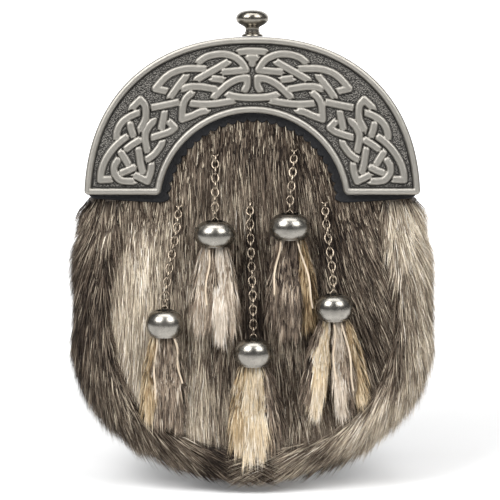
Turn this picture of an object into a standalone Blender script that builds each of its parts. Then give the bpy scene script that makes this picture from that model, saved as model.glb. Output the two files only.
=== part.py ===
"""A dress sporran: a hollow leather pouch with a fur front and a fur roll round its edge, an arched cast
cantle with raised interlace over a scalloped leather apron, a turned knob, and five fur tassels that hang
on chains from domed caps. Metres, +Z up, the front faces -Y. The origin is on the back panel's rear face,
midway between the two strap loops, where the sporran hangs."""

import math

import bmesh
import bpy
from mathutils import Vector

for old in list(bpy.data.objects):
    bpy.data.objects.remove(old, do_unlink=True)

# Places: heights named here are measured from the arch's centre, which lies below the hang line.
ARCH_DROP = 0.018

# Clearances between pieces that touch on the real object
GAP = 0.0003
SOFT_GAP = 0.0006
FUR_GAP = 0.0014

# Cantle
CANTLE_HALF_WIDTH = 0.0842
CANTLE_SQUARENESS = 2.27
ARCH_RADIUS = 0.0462
CANTLE_BASE = 0.0053
CANTLE_PLATE = 0.0024
CANTLE_WALL = 0.0020
CANTLE_WALL_DEPTH = 0.0150
RIM_WIDTH = 0.0034
RIM_HEIGHT = 0.0018
RIM_SLOPE = 0.0007
STRAND_WIDTH = 0.0032
STRAND_HEIGHT = 0.0011
STRAND_DRAFT = 0.0004
STRAND_ROOT = 0.0008
ARCH_STATIONS = 34

# Knob on the cantle's top
KNOB_RADIUS = 0.0082
KNOB_HEIGHT = 0.0134
KNOB_NECK_RADIUS = 0.0034
KNOB_FOOT_RADIUS = 0.0052
KNOB_SIDES = 16

# Leather apron under the cantle
APRON_THICKNESS = 0.0016
APRON_MARGIN = 0.0043
APRON_DROP = 0.0040
SCALLOP_PITCH = 0.0042
SCALLOP_DEPTH = 0.0008
SCALLOP_STEPS = 3

# Pouch
LEATHER = 0.0024
POUCH_DEPTH = 0.0300
POUCH_BULGE = 0.0070
POUCH_EDGE_ROUND = 0.0060
POUCH_IN_CANTLE = 0.0010
POUCH_TOP_HALF_WIDTH = CANTLE_HALF_WIDTH - CANTLE_WALL - POUCH_IN_CANTLE
POUCH_BODY_HALF_WIDTH = CANTLE_HALF_WIDTH - 2 * GAP
POUCH_BODY_DROP = 0.0470
POUCH_BODY_HALF_HEIGHT = 0.0850
POUCH_BODY_SQUARENESS = 2.35
POUCH_WAIST = 0.0110
POUCH_TOP_FLAT = 0.90
POUCH_COLUMNS = 8
MOUTH_WIDTH = 0.0760
MOUTH_HEIGHT = 0.0220
MOUTH_HEIGHT_ABOVE_ARCH = 0.0330

# Flap and strap loops on the back
FLAP_THICKNESS = 0.0020
FLAP_WIDTH = 0.0940
FLAP_TOP = 0.0600
FLAP_BOTTOM = -0.0040
STRAP_LOOP_INSET = 0.0220
STRAP_LOOP_X = POUCH_BODY_HALF_WIDTH - STRAP_LOOP_INSET
STRAP_LOOP_WIDTH = 0.0120
STRAP_LOOP_THICKNESS = 0.0020
STRAP_LOOP_FOOT = 0.0070
STRAP_LOOP_RAMP = 0.0040
STRAP_GAP_DEPTH = 0.0056
STRAP_GAP_HEIGHT = 0.0250

# Fur on the front
HIDE = 0.0018
FUR_ROOT = 0.0032
FUR_TIP = 0.0054
FRONT_LOCK_WIDTH = 0.0180
FRONT_LOCK_LENGTH = 0.0190
FRONT_LOCK_VALLEY = 0.35
FUR_WINDOW_MARGIN = 0.0090
FUR_COLUMNS = 16

# Fur roll round the edge
BORDER_LIP = 0.0130
BORDER_LIP_BOTTOM = 0.0090
BORDER_SPREAD = 0.0066
BORDER_RISE = 0.0080
BORDER_LOCK = 0.0016
BORDER_TOP_SHARE = 0.55

# Chains, caps and tassels
CHAIN_WIDTH = 0.0044
CAP_WIDTH = 0.0200
CAP_HEIGHT = 0.0140
CAP_WALL = 0.0009
CAP_MOUTH = 0.66
CAP_SIDES = 12
TASSEL_LENGTH = 0.0490
TASSEL_SPREAD = 0.0120
TASSEL_HEAD = 0.0040
TASSEL_THICKNESS = 0.0056
TASSEL_STRIPS = 5
HEAD_SIDES = 10

# Each tassel. First in shares of the cantle's half-width from the arch's centre: where its chain leaves
# the fur, and where its cap's top hangs. Then, in shares of the sizes above: its cap's width and height,
# its fur's length, and how far that spreads to the left and right.
TASSELS = [
    dict(name="1", anchor=(-0.436, 0.018), cap=(-0.518, -0.618),
         wide=0.94, high=1.00, long=1.00, left=1.04, right=1.04),
    dict(name="2", anchor=(-0.220, 0.316), cap=(-0.221, -0.093),
         wide=1.02, high=0.94, long=0.98, left=0.92, right=0.83),
    dict(name="3", anchor=(-0.015, 0.048), cap=(0.007, -0.790),
         wide=0.95, high=1.00, long=0.96, left=0.92, right=1.33),
    dict(name="4", anchor=(0.249, 0.344), cap=(0.221, -0.050),
         wide=1.02, high=0.95, long=0.98, left=1.00, right=1.08),
    dict(name="5", anchor=(0.429, 0.036), cap=(0.482, -0.525),
         wide=0.94, high=0.98, long=1.02, left=1.00, right=1.50),
]

# The interlace is charted on squares, with the arch's centre at 0, 0, x to the wearer's right as seen from
# the front's left, and this many squares to half the cantle's width and to the arch's radius.
CHART_HALF_WIDTH = 168.4
CHART_ARCH_RADIUS = 92.4

# One row for each raised strand of the left half: its points, from end to end. The right half mirrors them.
STRANDS = {
    "foot_hook": [(126, 68.5), (132, 64), (140, 56), (147, 45.5), (151, 35), (152, 25.5), (141.5, 26)],
    "shoulder_bow": [(114.5, 92.5), (121.5, 89.5), (128.5, 85), (133, 79.5), (135.5, 73), (136, 68)],
    "upper_tie": [(122.3, 81.5), (121, 76), (119, 69.8)],
    "shoulder_peak": [(120.3, 98), (112, 106), (107.3, 100), (106.5, 90), (108.5, 83), (112.5, 75.5)],
    "inner_wave": [(99.5, 83.5), (103.7, 78.8), (106.7, 73), (107.2, 67), (106.3, 61), (105, 54.5)],
    "middle_tie": [(126.3, 56.2), (120, 61), (112.5, 65.5)],
    "lower_tie": [(131.5, 53), (127.2, 46.6), (124, 41)],
    "round_loop": [(134.5, 45.5), (137.8, 40), (138.3, 34), (135.5, 28.5), (130.5, 24.7), (119, 24)],
    "loop_tie": [(131.3, 32.3), (124.5, 35), (118, 38)],
    "heel_bar": [(114, 56), (113, 50), (111.7, 41.5), (109.3, 32.5)],
    "heel_hook": [(100.8, 40.5), (101.8, 33), (105, 24), (118, 30.5)],
    "inner_bow": [(90.3, 62.5), (93.5, 57), (98.5, 50.8), (105.5, 45.8)],
    "inner_hook": [(100, 68), (91, 70.8), (83, 73.6), (77.5, 77.8), (83, 83.5)],
    "side_tie": [(87.7, 93), (89.3, 85), (91.2, 77)],
    "long_tie": [(100.3, 97.8), (88, 100.2), (73.8, 103.3)],
    "wide_hook": [(60.7, 112.3), (66.3, 107), (69.5, 99), (70.3, 86), (59.5, 90), (53, 93), (46.5, 94.5)],
    "inner_sweep": [(61.3, 102), (50, 101.2), (39, 101.5), (28.5, 103), (19, 104.6)],
    "band_bar": [(69, 116.5), (62.7, 118.6), (53, 118.8), (44, 117.5), (36.5, 116.3)],
    "cross_tie": [(66.3, 129.3), (74, 119.8), (82.2, 108.2)],
    "outer_hook": [(47.8, 136.6), (57, 136.9), (67, 136.6), (77.5, 133.8), (87, 128), (97, 116.8),
                   (86, 114.3)],
    "crown_bow": [(53.5, 143.5), (47.3, 148), (38.5, 150.8), (28.3, 151.4), (19, 149), (11.5, 144),
                  (6.2, 135.6), (18, 134.3), (29.7, 133.5)],
    "crown_tie": [(24, 143.7), (39, 135.2), (55, 126.2)],
    "crown_chip": [(40.2, 127), (29, 125.6)],
    "heart_bow": [(38.5, 108.3), (31.5, 115.2), (23.3, 122), (14.3, 126.2), (5, 127.4), (5.3, 120),
                  (7.8, 115.4)],
}

# Strands that lie across the middle, each drawn whole
MIDDLE_STRANDS = {
    "boat": [(24.5, 110.8), (17.5, 108.8), (8.7, 107.9), (0, 107.6), (-8.7, 107.9), (-17.5, 108.8),
             (-24.5, 110.8)],
    "crown_cap": [(12, 153.6), (6, 154.3), (0, 154.5), (-6, 154.3), (-12, 153.6)],
}
WEDGE = [(5.4, 148.8), (-5.4, 148.8), (0, 139.4)]


def smooth_step(low, high, value):
    """0 below low, 1 above high, and an even turn between them."""
    share = min(1.0, max(0.0, (value - low) / (high - low)))
    return share * share * (3 - 2 * share)


def place(x, y, z):
    """A point given with its height above the arch's centre."""
    return Vector((x, y, z - ARCH_DROP))


# Materials
def material(name, colour, roughness, metallic=0.0):
    made = bpy.data.materials.new(name)
    made.use_nodes = True
    shader = made.node_tree.nodes["Principled BSDF"]
    shader.inputs["Base Color"].default_value = (*colour, 1.0)
    shader.inputs["Roughness"].default_value = roughness
    shader.inputs["Metallic"].default_value = metallic
    return made


PEWTER = material("pewter", (0.46, 0.45, 0.42), 0.42, 1.0)
POLISHED = material("polished_metal", (0.52, 0.50, 0.46), 0.18, 1.0)
CHAIN_METAL = material("chain_metal", (0.34, 0.30, 0.26), 0.35, 1.0)
BLACK_LEATHER = material("black_leather", (0.022, 0.022, 0.024), 0.55)
GREY_FUR = material("grey_fur", (0.27, 0.23, 0.19), 0.75)
PALE_FUR = material("pale_fur", (0.55, 0.45, 0.33), 0.75)


# Mesh helpers
def finished(name, mesh_data, look, sharp_degrees=40.0):
    """An object from a bmesh: faces outwards, smooth shaded except at its sharp edges."""
    bmesh.ops.recalc_face_normals(mesh_data, faces=mesh_data.faces)
    mesh = bpy.data.meshes.new(name)
    mesh_data.to_mesh(mesh)
    mesh_data.free()
    mesh.shade_smooth()
    mesh.set_sharp_from_angle(angle=math.radians(sharp_degrees))
    mesh.materials.append(look)
    made = bpy.data.objects.new(name, mesh)
    bpy.context.scene.collection.objects.link(made)
    return made


def add_loft(mesh_data, rings, closed=False):
    """Faces through rings of points. A ring of one point is a pole. Closed joins the last to the first."""
    rows = [[mesh_data.verts.new(p) for p in ring] for ring in rings]
    pairs = list(zip(rows, rows[1:]))
    if closed:
        pairs.append((rows[-1], rows[0]))
    for one, two in pairs:
        count = max(len(one), len(two))
        for i in range(count):
            j = (i + 1) % count
            corners = [one[i % len(one)], one[j % len(one)], two[j % len(two)], two[i % len(two)]]
            mesh_data.faces.new(list(dict.fromkeys(corners)))
    if not closed:
        for end in (rows[0], rows[-1]):
            if len(end) > 2:
                mesh_data.faces.new(end)


def lofted(name, rings, look, closed=False):
    mesh_data = bmesh.new()
    add_loft(mesh_data, rings, closed)
    return finished(name, mesh_data, look)


def turned_ring(radius, height, sides, centre):
    """A ring of points about a vertical axis through centre, or the one point on it."""
    if radius == 0:
        return [centre + Vector((0, 0, height))]
    steps = [2 * math.pi * k / sides for k in range(sides)]
    return [centre + Vector((radius * math.cos(a), radius * math.sin(a), height)) for a in steps]


def add_prism(mesh_data, outline, shift, top=None):
    """A solid between a flat outline and the same outline moved by shift, or another one given as top."""
    top = [p + shift for p in outline] if top is None else top
    add_loft(mesh_data, [outline, top])


def prism(name, outline, shift, look):
    mesh_data = bmesh.new()
    add_prism(mesh_data, outline, shift)
    return finished(name, mesh_data, look)


def cut(target, cutter):
    """Cuts one object's shape out of another and leaves the cutter as a guide."""
    cutter.hide_render = True
    cutter.display_type = "WIRE"
    modifier = target.modifiers.new("cut", "BOOLEAN")
    modifier.operation = "DIFFERENCE"
    modifier.solver = "EXACT"
    modifier.object = cutter


def fuse(target, added):
    """Joins another object's solids to this one as one body, and leaves them as a guide."""
    added.hide_render = True
    added.display_type = "WIRE"
    modifier = target.modifiers.new("fuse", "BOOLEAN")
    modifier.operation = "UNION"
    modifier.solver = "EXACT"
    modifier.use_self = True
    modifier.object = added


# Outlines, all in the front plane with heights from the arch's centre
def squared_half_width(height, half_width, half_height, squareness):
    """Half the width of a rounded-square outline at a height from its middle."""
    share = min(1.0, abs(height) / half_height)
    return half_width * (1 - share**squareness) ** (1 / squareness)


def squared_radius(angle, half_width, squareness):
    """Distance from the middle to a rounded-square outline, at an angle from the vertical."""
    across = abs(math.sin(angle)) ** squareness + abs(math.cos(angle)) ** squareness
    return half_width * across ** (-1 / squareness)


def pouch_half_width(height):
    """The leather pouch: the cantle's arch above, a rounded body below, and a slight waist between."""
    top = squared_half_width(max(0.0, height), POUCH_TOP_HALF_WIDTH, POUCH_TOP_HALF_WIDTH, CANTLE_SQUARENESS)
    body = squared_half_width(height + POUCH_BODY_DROP, POUCH_BODY_HALF_WIDTH, POUCH_BODY_HALF_HEIGHT,
                              POUCH_BODY_SQUARENESS)
    return body + (top - body) * smooth_step(-POUCH_WAIST, POUCH_WAIST, height)


def panel_half_width(height):
    """The fur panel's edge below the cantle, which the border's lip runs along."""
    return squared_half_width(height + POUCH_BODY_DROP, POUCH_BODY_HALF_WIDTH - BORDER_LIP,
                              POUCH_BODY_HALF_HEIGHT - BORDER_LIP_BOTTOM, POUCH_BODY_SQUARENESS)


def front_depth(x, height):
    """How far the pouch's front stands from its back: even behind the cantle, and bulging below it."""
    below = smooth_step(0.0, POUCH_BODY_DROP, -height)
    bottom = POUCH_BODY_DROP + POUCH_BODY_HALF_HEIGHT
    lift = 1 - max(0.0, (-height - POUCH_BODY_DROP) / (bottom - POUCH_BODY_DROP)) ** 2
    crown = 1 - (x / POUCH_BODY_HALF_WIDTH) ** 2
    return POUCH_DEPTH + POUCH_BULGE * below * max(0.0, lift) * max(0.0, crown)


def bow(share):
    """Even steps of angle turned to a height share, so that a round end has points where it turns most."""
    return math.sin(share * math.pi / 2) ** (2 / POUCH_BODY_SQUARENESS)


def pouch_rows(scale=1.0, top_steps=6, bulge_steps=6, bottom_steps=7):
    """The pouch's outline in rows from the top, each a half-width and a height, scaled about its middle."""
    heights = [POUCH_TOP_HALF_WIDTH * bow(POUCH_TOP_FLAT * (1 - k / top_steps)) for k in range(top_steps)]
    heights += [-POUCH_BODY_DROP * k / bulge_steps for k in range(bulge_steps)]
    heights += [-POUCH_BODY_DROP - POUCH_BODY_HALF_HEIGHT * bow(POUCH_TOP_FLAT * k / bottom_steps)
                for k in range(bottom_steps + 1)]
    middle = (heights[0] + heights[-1]) / 2
    return [(pouch_half_width(h) * scale, middle + (h - middle) * scale) for h in heights]


def grid_points(rows, columns=POUCH_COLUMNS):
    """Rows of x, height points spread evenly over each row's width."""
    return [[(half * (2 * k / columns - 1), h) for k in range(columns + 1)] for half, h in rows]


def rim_of(grid):
    """The border of a grid as one loop: the top row, down the right, back along the bottom, up the left."""
    right = [row[-1] for row in grid[1:-1]]
    left = [row[0] for row in reversed(grid[1:-1])]
    return grid[0] + right + grid[-1][::-1] + left


def cantle_outer(angle, inset=0.0):
    """A point of the cantle's outer edge at an angle from the vertical, positive to the right."""
    radius = squared_radius(angle, CANTLE_HALF_WIDTH - inset, CANTLE_SQUARENESS)
    return radius * math.sin(angle), radius * math.cos(angle)


def arch_point(angle, radius):
    return radius * math.sin(angle), radius * math.cos(angle)


def end_angle(radius, base):
    """The angle from the vertical at which a circle of this radius meets a base line."""
    return math.acos(base / radius)


CANTLE_BACK = POUCH_DEPTH + SOFT_GAP + HIDE + GAP + APRON_THICKNESS + GAP
CANTLE_FIELD = CANTLE_BACK + CANTLE_PLATE


# Cantle
def band_section(share):
    """The arch band's cross-section at a share of the way round, -1 at the left foot and 1 at the right."""
    inner = arch_point(share * end_angle(ARCH_RADIUS, CANTLE_BASE), ARCH_RADIUS)
    outer = cantle_outer(share * end_angle(CANTLE_HALF_WIDTH, CANTLE_BASE))
    width = math.hypot(outer[0] - inner[0], outer[1] - inner[1])
    rim = RIM_WIDTH / width
    slope = (RIM_WIDTH + RIM_SLOPE) / width
    wall = CANTLE_WALL / width
    edge = RIM_SLOPE / width
    profile = [
        (0, CANTLE_BACK),
        (0, CANTLE_FIELD + RIM_HEIGHT - RIM_SLOPE),
        (edge, CANTLE_FIELD + RIM_HEIGHT),
        (rim, CANTLE_FIELD + RIM_HEIGHT),
        (slope, CANTLE_FIELD),
        (1 - slope, CANTLE_FIELD),
        (1 - rim, CANTLE_FIELD + RIM_HEIGHT),
        (1 - edge, CANTLE_FIELD + RIM_HEIGHT),
        (1, CANTLE_FIELD + RIM_HEIGHT - RIM_SLOPE),
        (1, CANTLE_BACK - CANTLE_WALL_DEPTH),
        (1 - wall, CANTLE_BACK - CANTLE_WALL_DEPTH),
        (1 - wall, CANTLE_BACK),
    ]
    return [place(inner[0] + (outer[0] - inner[0]) * t, -depth, inner[1] + (outer[1] - inner[1]) * t)
            for t, depth in profile]


def from_chart(x, z):
    """A chart point's place on the cantle: the same angle, and the same share of the way across the band."""
    angle = math.atan2(-x, z)
    chart_outer = squared_radius(angle, CHART_HALF_WIDTH, CANTLE_SQUARENESS)
    share = (math.hypot(x, z) - CHART_ARCH_RADIUS) / (chart_outer - CHART_ARCH_RADIUS)
    outer = squared_radius(angle, CANTLE_HALF_WIDTH, CANTLE_SQUARENESS)
    return Vector(arch_point(angle, ARCH_RADIUS + (outer - ARCH_RADIUS) * share))


def ribbon_outline(points, half_width):
    """The outline of a strip of even width along a line of points, mitred where the line turns."""
    left, right = [], []
    for i, point in enumerate(points):
        before = (point - points[i - 1]).normalized() if i else None
        after = (points[i + 1] - point).normalized() if i + 1 < len(points) else None
        along = (before or after) + (after or before)
        along.normalize()
        side = Vector((-along.y, along.x))
        reach = half_width / max(0.45, along.dot(after or before))
        left.append(point + side * reach)
        right.append(point - side * reach)
    return left + right[::-1]


def on_field(outline, height):
    return [place(p.x, -(CANTLE_FIELD + height), p.y) for p in outline]


def add_strand(mesh_data, points):
    """One raised strand, drafted as cast metal is, with its root sunk in the field."""
    foot = ribbon_outline(points, STRAND_WIDTH / 2)
    crest = ribbon_outline(points, STRAND_WIDTH / 2 - STRAND_DRAFT)
    add_loft(mesh_data, [on_field(foot, -STRAND_ROOT), on_field(foot, 0.0), on_field(crest, STRAND_HEIGHT)])


def make_cantle():
    shares = [2 * k / ARCH_STATIONS - 1 for k in range(ARCH_STATIONS + 1)]
    cantle = lofted("cantle", [band_section(share) for share in shares], PEWTER)
    raised = bmesh.new()
    for chart in STRANDS.values():
        line = [from_chart(x, z) for x, z in chart]
        add_strand(raised, line)
        add_strand(raised, [Vector((-p.x, p.y)) for p in line])
    for chart in MIDDLE_STRANDS.values():
        add_strand(raised, [from_chart(x, z) for x, z in chart])
    wedge = [from_chart(x, z) for x, z in WEDGE]
    add_prism(raised, on_field(wedge, -STRAND_ROOT), None, on_field(wedge, STRAND_HEIGHT))
    inner_x = arch_point(end_angle(ARCH_RADIUS, CANTLE_BASE), ARCH_RADIUS)[0]
    outer_x = cantle_outer(end_angle(CANTLE_HALF_WIDTH, CANTLE_BASE))[0]
    for side in (-1, 1):
        add_base_rim(raised, side, inner_x + RIM_WIDTH / 2, outer_x - RIM_WIDTH / 2)
    fuse(cantle, finished("cantle_relief", raised, PEWTER))


def add_base_rim(mesh_data, side, inner_x, outer_x):
    """The rim along one foot of the cantle, from the arch's rim to the outer one."""
    low = CANTLE_BASE
    high = CANTLE_BASE + RIM_WIDTH
    crest_low = low + RIM_SLOPE
    crest_high = high - RIM_SLOPE
    foot = CANTLE_FIELD - STRAND_ROOT
    shoulder = CANTLE_FIELD + RIM_HEIGHT - RIM_SLOPE
    crest = CANTLE_FIELD + RIM_HEIGHT
    profile = [
        (low, foot), (low, shoulder), (crest_low, crest),
        (crest_high, crest), (high, shoulder), (high, foot),
    ]
    add_loft(mesh_data, [[place(side * x, -depth, z) for z, depth in profile] for x in (inner_x, outer_x)])


# Knob
def make_knob():
    """A turned knob: its foot on the cantle's wall, a waisted neck and a flattened round head."""
    shares = [
        (0.00, 0.00, "axis"), (1.00, 0.00, "foot"), (1.00, 0.06, "foot"), (0.72, 0.11, "foot"),
        (1.00, 0.18, "neck"), (0.94, 0.36, "neck"), (0.46, 0.41, "head"), (0.82, 0.47, "head"),
        (1.00, 0.64, "head"), (0.93, 0.81, "head"), (0.68, 0.93, "head"), (0.36, 0.985, "head"),
        (0.00, 1.00, "axis"),
    ]
    radii = {"axis": 0.0, "foot": KNOB_FOOT_RADIUS, "neck": KNOB_NECK_RADIUS, "head": KNOB_RADIUS}
    depth = CANTLE_BACK - CANTLE_WALL_DEPTH / 2
    foot = place(0, -depth, CANTLE_HALF_WIDTH + GAP)
    rings = [turned_ring(radii[kind] * wide, KNOB_HEIGHT * high, KNOB_SIDES, foot)
             for wide, high, kind in shares]
    lofted("top_knob", rings, POLISHED)


# Apron
def make_apron():
    """Black leather under the cantle: inside its wall, scalloped along the arch, and lower at the feet."""
    back = POUCH_DEPTH + SOFT_GAP + HIDE + GAP
    base = CANTLE_BASE - APRON_DROP
    inset = CANTLE_WALL + GAP
    radius = ARCH_RADIUS - APRON_MARGIN
    turn = end_angle(radius, base)
    lobes = round(2 * turn * radius / SCALLOP_PITCH)
    steps = lobes * SCALLOP_STEPS
    inner = []
    for k in range(steps + 1):
        lobe = abs(math.sin(math.pi * k / SCALLOP_STEPS))
        angle = turn * (2 * k / steps - 1)
        inner.append(arch_point(angle, radius + SCALLOP_DEPTH * (1 - lobe)))
    outer_turn = end_angle(CANTLE_HALF_WIDTH - inset, base)
    outer = [cantle_outer(outer_turn * (1 - 2 * k / ARCH_STATIONS), inset) for k in range(ARCH_STATIONS + 1)]
    outline = [place(x, -back, z) for x, z in inner + outer]
    prism("apron", outline, Vector((0, -APRON_THICKNESS, 0)), BLACK_LEATHER)


# Pouch
def add_tray_face(mesh_data, inset):
    """One side of the shell's wall: the front as a grid, its rounded edge, the gusset and its last loop."""
    full = 1 - inset / POUCH_BODY_HALF_WIDTH
    round_off = POUCH_EDGE_ROUND - inset
    turn = round_off / POUCH_BODY_HALF_WIDTH
    quarter = 1 - math.cos(math.pi / 4)
    front = [[mesh_data.verts.new(place(x, -(front_depth(x, z) - inset), z)) for x, z in row]
             for row in grid_points(pouch_rows(full - turn))]
    for upper, lower in zip(front, front[1:]):
        for k in range(POUCH_COLUMNS):
            mesh_data.faces.new([upper[k], upper[k + 1], lower[k + 1], lower[k]])
    loop = rim_of(front)
    for scale, drop in ((full - turn * quarter, round_off * quarter), (full, round_off), (full, None)):
        following = []
        for x, z in rim_of(grid_points(pouch_rows(scale))):
            depth = LEATHER + GAP if drop is None else front_depth(x, z) - inset - drop
            following.append(mesh_data.verts.new(place(x, -depth, z)))
        join_loops(mesh_data, loop, following)
        loop = following
    return loop


def join_loops(mesh_data, one, two):
    """A ring of faces between two loops of as many points."""
    for i in range(len(one)):
        j = (i + 1) % len(one)
        mesh_data.faces.new([one[i], one[j], two[j], two[i]])


def make_shell():
    """The pouch's front wall and gusset as one moulded leather tray, open at the back panel."""
    mesh_data = bmesh.new()
    outer = add_tray_face(mesh_data, 0.0)
    inner = add_tray_face(mesh_data, LEATHER)
    join_loops(mesh_data, outer, inner)
    finished("pouch_shell", mesh_data, BLACK_LEATHER)


def make_back():
    """The flat back panel with the pouch's mouth cut through it, and the flap that covers the mouth."""
    outline = [place(x, 0.0, z) for x, z in rim_of(grid_points(pouch_rows()))]
    panel = prism("back_panel", outline, Vector((0, -LEATHER, 0)), BLACK_LEATHER)
    radius = MOUTH_HEIGHT / 2
    corner_x = MOUTH_WIDTH / 2 - radius
    steps = [math.pi * k / 8 for k in range(9)]
    right = [(corner_x + radius * math.sin(a), radius * math.cos(a)) for a in steps]
    slot = right + [(-x, -z) for x, z in right]
    cutter = [place(x, LEATHER, MOUTH_HEIGHT_ABOVE_ARCH + z) for x, z in slot]
    cut(panel, prism("mouth_cutter", cutter, Vector((0, -3 * LEATHER, 0)), BLACK_LEATHER))

    half = FLAP_WIDTH / 2
    corner = half / 2
    lower = [(half - corner + corner * math.cos(a), FLAP_BOTTOM + corner - corner * math.sin(a))
             for a in (math.pi / 2 * k / 5 for k in range(6))]
    shape = [(half, FLAP_TOP)] + lower + [(-x, z) for x, z in reversed(lower)] + [(-half, FLAP_TOP)]
    prism("back_flap", [place(x, GAP, z) for x, z in shape], Vector((0, FLAP_THICKNESS, 0)), BLACK_LEATHER)


def make_strap_loops():
    """Two leather bridges on the back, each with a gap under it for the wearing strap."""
    top = STRAP_GAP_HEIGHT / 2 + STRAP_LOOP_RAMP + STRAP_LOOP_FOOT
    ramp = STRAP_GAP_HEIGHT / 2 + STRAP_LOOP_RAMP
    under = GAP + STRAP_GAP_DEPTH
    over = under + STRAP_LOOP_THICKNESS
    lean = STRAP_LOOP_THICKNESS / 2
    upper_outer = [(GAP, top), (GAP + STRAP_LOOP_THICKNESS, top), (GAP + STRAP_LOOP_THICKNESS, ramp + lean),
                   (over, STRAP_GAP_HEIGHT / 2 + lean)]
    upper_inner = [(GAP, ramp), (under, STRAP_GAP_HEIGHT / 2)]
    profile = upper_outer + [(y, -z) for y, z in reversed(upper_outer)]
    profile += [(y, -z) for y, z in upper_inner] + upper_inner[::-1]
    for name, side in (("left", -1), ("right", 1)):
        start = side * STRAP_LOOP_X - STRAP_LOOP_WIDTH / 2
        outline = [Vector((start, y, z)) for y, z in profile]
        prism("strap_loop_" + name, outline, Vector((STRAP_LOOP_WIDTH, 0, 0)), BLACK_LEATHER)


# Fur on the front
def lock_thickness(x, height):
    """Shingled locks in columns: each thickens from root to tip and leaves a shallow valley at its sides."""
    column = x / FRONT_LOCK_WIDTH
    stagger = 0.5 * (math.floor(column) % 2)
    along = (-height / FRONT_LOCK_LENGTH + stagger) % 1.0
    across = 2 * (column % 1.0) - 1
    return FUR_ROOT + (FUR_TIP - FUR_ROOT) * along * (1 - FRONT_LOCK_VALLEY * across * across)


def fur_thickness(x, height):
    """Sheared hide under the cantle and its apron, and full locks in the arch and below."""
    reach = ARCH_RADIUS - APRON_MARGIN - FUR_WINDOW_MARGIN
    in_arch = math.hypot(x, max(0.0, height)) < reach
    below = height < CANTLE_BASE - APRON_DROP - FUR_WINDOW_MARGIN
    return lock_thickness(x, height) if in_arch or below else HIDE


def fur_rows():
    """Heights of the fur panel's rows with the half-width of each, top to bottom."""
    apron_foot = CANTLE_BASE - APRON_DROP
    lock_step = FRONT_LOCK_LENGTH / 3
    top = POUCH_TOP_HALF_WIDTH * 0.985
    rows = [(top, pouch_half_width(top))]
    arch_top = ARCH_RADIUS
    for share in (0.90, 0.74):
        rows.append((POUCH_TOP_HALF_WIDTH * share, pouch_half_width(POUCH_TOP_HALF_WIDTH * share)))
    rows.append((arch_top, pouch_half_width(arch_top)))
    height = arch_top - lock_step
    while height > apron_foot + lock_step / 2:
        rows.append((height, pouch_half_width(height)))
        height -= lock_step
    rows.append((apron_foot, pouch_half_width(apron_foot)))
    bottom = -POUCH_BODY_DROP - (POUCH_BODY_HALF_HEIGHT - BORDER_LIP_BOTTOM) * 0.985
    height = apron_foot - GAP
    while height > bottom:
        rows.append((height, panel_half_width(height)))
        height -= lock_step
    rows.append((bottom, panel_half_width(bottom)))
    return [(h, half - FUR_GAP) for h, half in rows]


def make_front_fur():
    """Fur on its hide, a sheet that follows the pouch's front, with the locks on its outer face."""
    mesh_data = bmesh.new()
    faces = []
    for height, half in fur_rows():
        xs = [half * (2 * k / FUR_COLUMNS - 1) for k in range(FUR_COLUMNS + 1)]
        hide = [place(x, -(front_depth(x, height) + SOFT_GAP), height) for x in xs]
        fur = [place(x, -(front_depth(x, height) + SOFT_GAP + fur_thickness(x, height)), height) for x in xs]
        faces.append(hide + fur[::-1])
    add_loft(mesh_data, faces)
    finished("front_fur", mesh_data, GREY_FUR)


# Fur roll round the edge
def edge_stations():
    """Points down the right side and round to the bottom: at each, the pouch's edge and the lip's edge."""
    top = CANTLE_BASE - APRON_DROP - SOFT_GAP
    side_steps = 12
    heights = [top - (top + POUCH_BODY_DROP) * k / side_steps for k in range(side_steps)]
    stations = [((pouch_half_width(h), h), (panel_half_width(h), h)) for h in heights]
    turn_steps = 20
    power = 2 / POUCH_BODY_SQUARENESS
    for k in range(turn_steps + 1):
        angle = math.pi / 2 * k / turn_steps
        wide = max(0.0, math.cos(angle)) ** power
        deep = math.sin(angle) ** power
        edge = (POUCH_BODY_HALF_WIDTH * wide, -POUCH_BODY_DROP - POUCH_BODY_HALF_HEIGHT * deep)
        lip = ((POUCH_BODY_HALF_WIDTH - BORDER_LIP) * wide,
               -POUCH_BODY_DROP - (POUCH_BODY_HALF_HEIGHT - BORDER_LIP_BOTTOM) * deep)
        stations.append((edge, lip))
    return stations


def border_section(edge, lip, outward, fullness, lock):
    """The roll's cross-section: against the gusset and over the pouch's front edge, rounded outside."""
    spread = BORDER_SPREAD * fullness + BORDER_LOCK * lock
    rise = BORDER_RISE * (0.6 + 0.4 * fullness) + BORDER_LOCK * lock / 2
    depth = front_depth(*edge)
    side = [
        (SOFT_GAP, LEATHER + 2 * GAP), (0.70 * spread, 0.16 * depth), (0.97 * spread, 0.42 * depth),
        (1.00 * spread, 0.74 * depth), (0.66 * spread, depth + 0.45 * rise),
    ]
    front = [(0.25, 0.95 * rise), (0.62, 0.96 * rise), (0.93, 0.50 * rise), (1.00, SOFT_GAP)]
    round_off = POUCH_EDGE_ROUND
    points = [place(edge[0] + outward.x * n, -y, edge[1] + outward.y * n) for n, y in side]
    for share, above in front:
        x = edge[0] + (lip[0] - edge[0]) * share
        z = edge[1] + (lip[1] - edge[1]) * share
        points.append(place(x, -(front_depth(x, z) + above), z))
    inner = [
        (-round_off, SOFT_GAP), (-0.22 * round_off, SOFT_GAP - 0.30 * round_off), (SOFT_GAP, -round_off),
    ]
    for n, above in inner:
        x = edge[0] + outward.x * n
        z = edge[1] + outward.y * n
        points.append(place(x, -(front_depth(x, z) + above), z))
    return points


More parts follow.
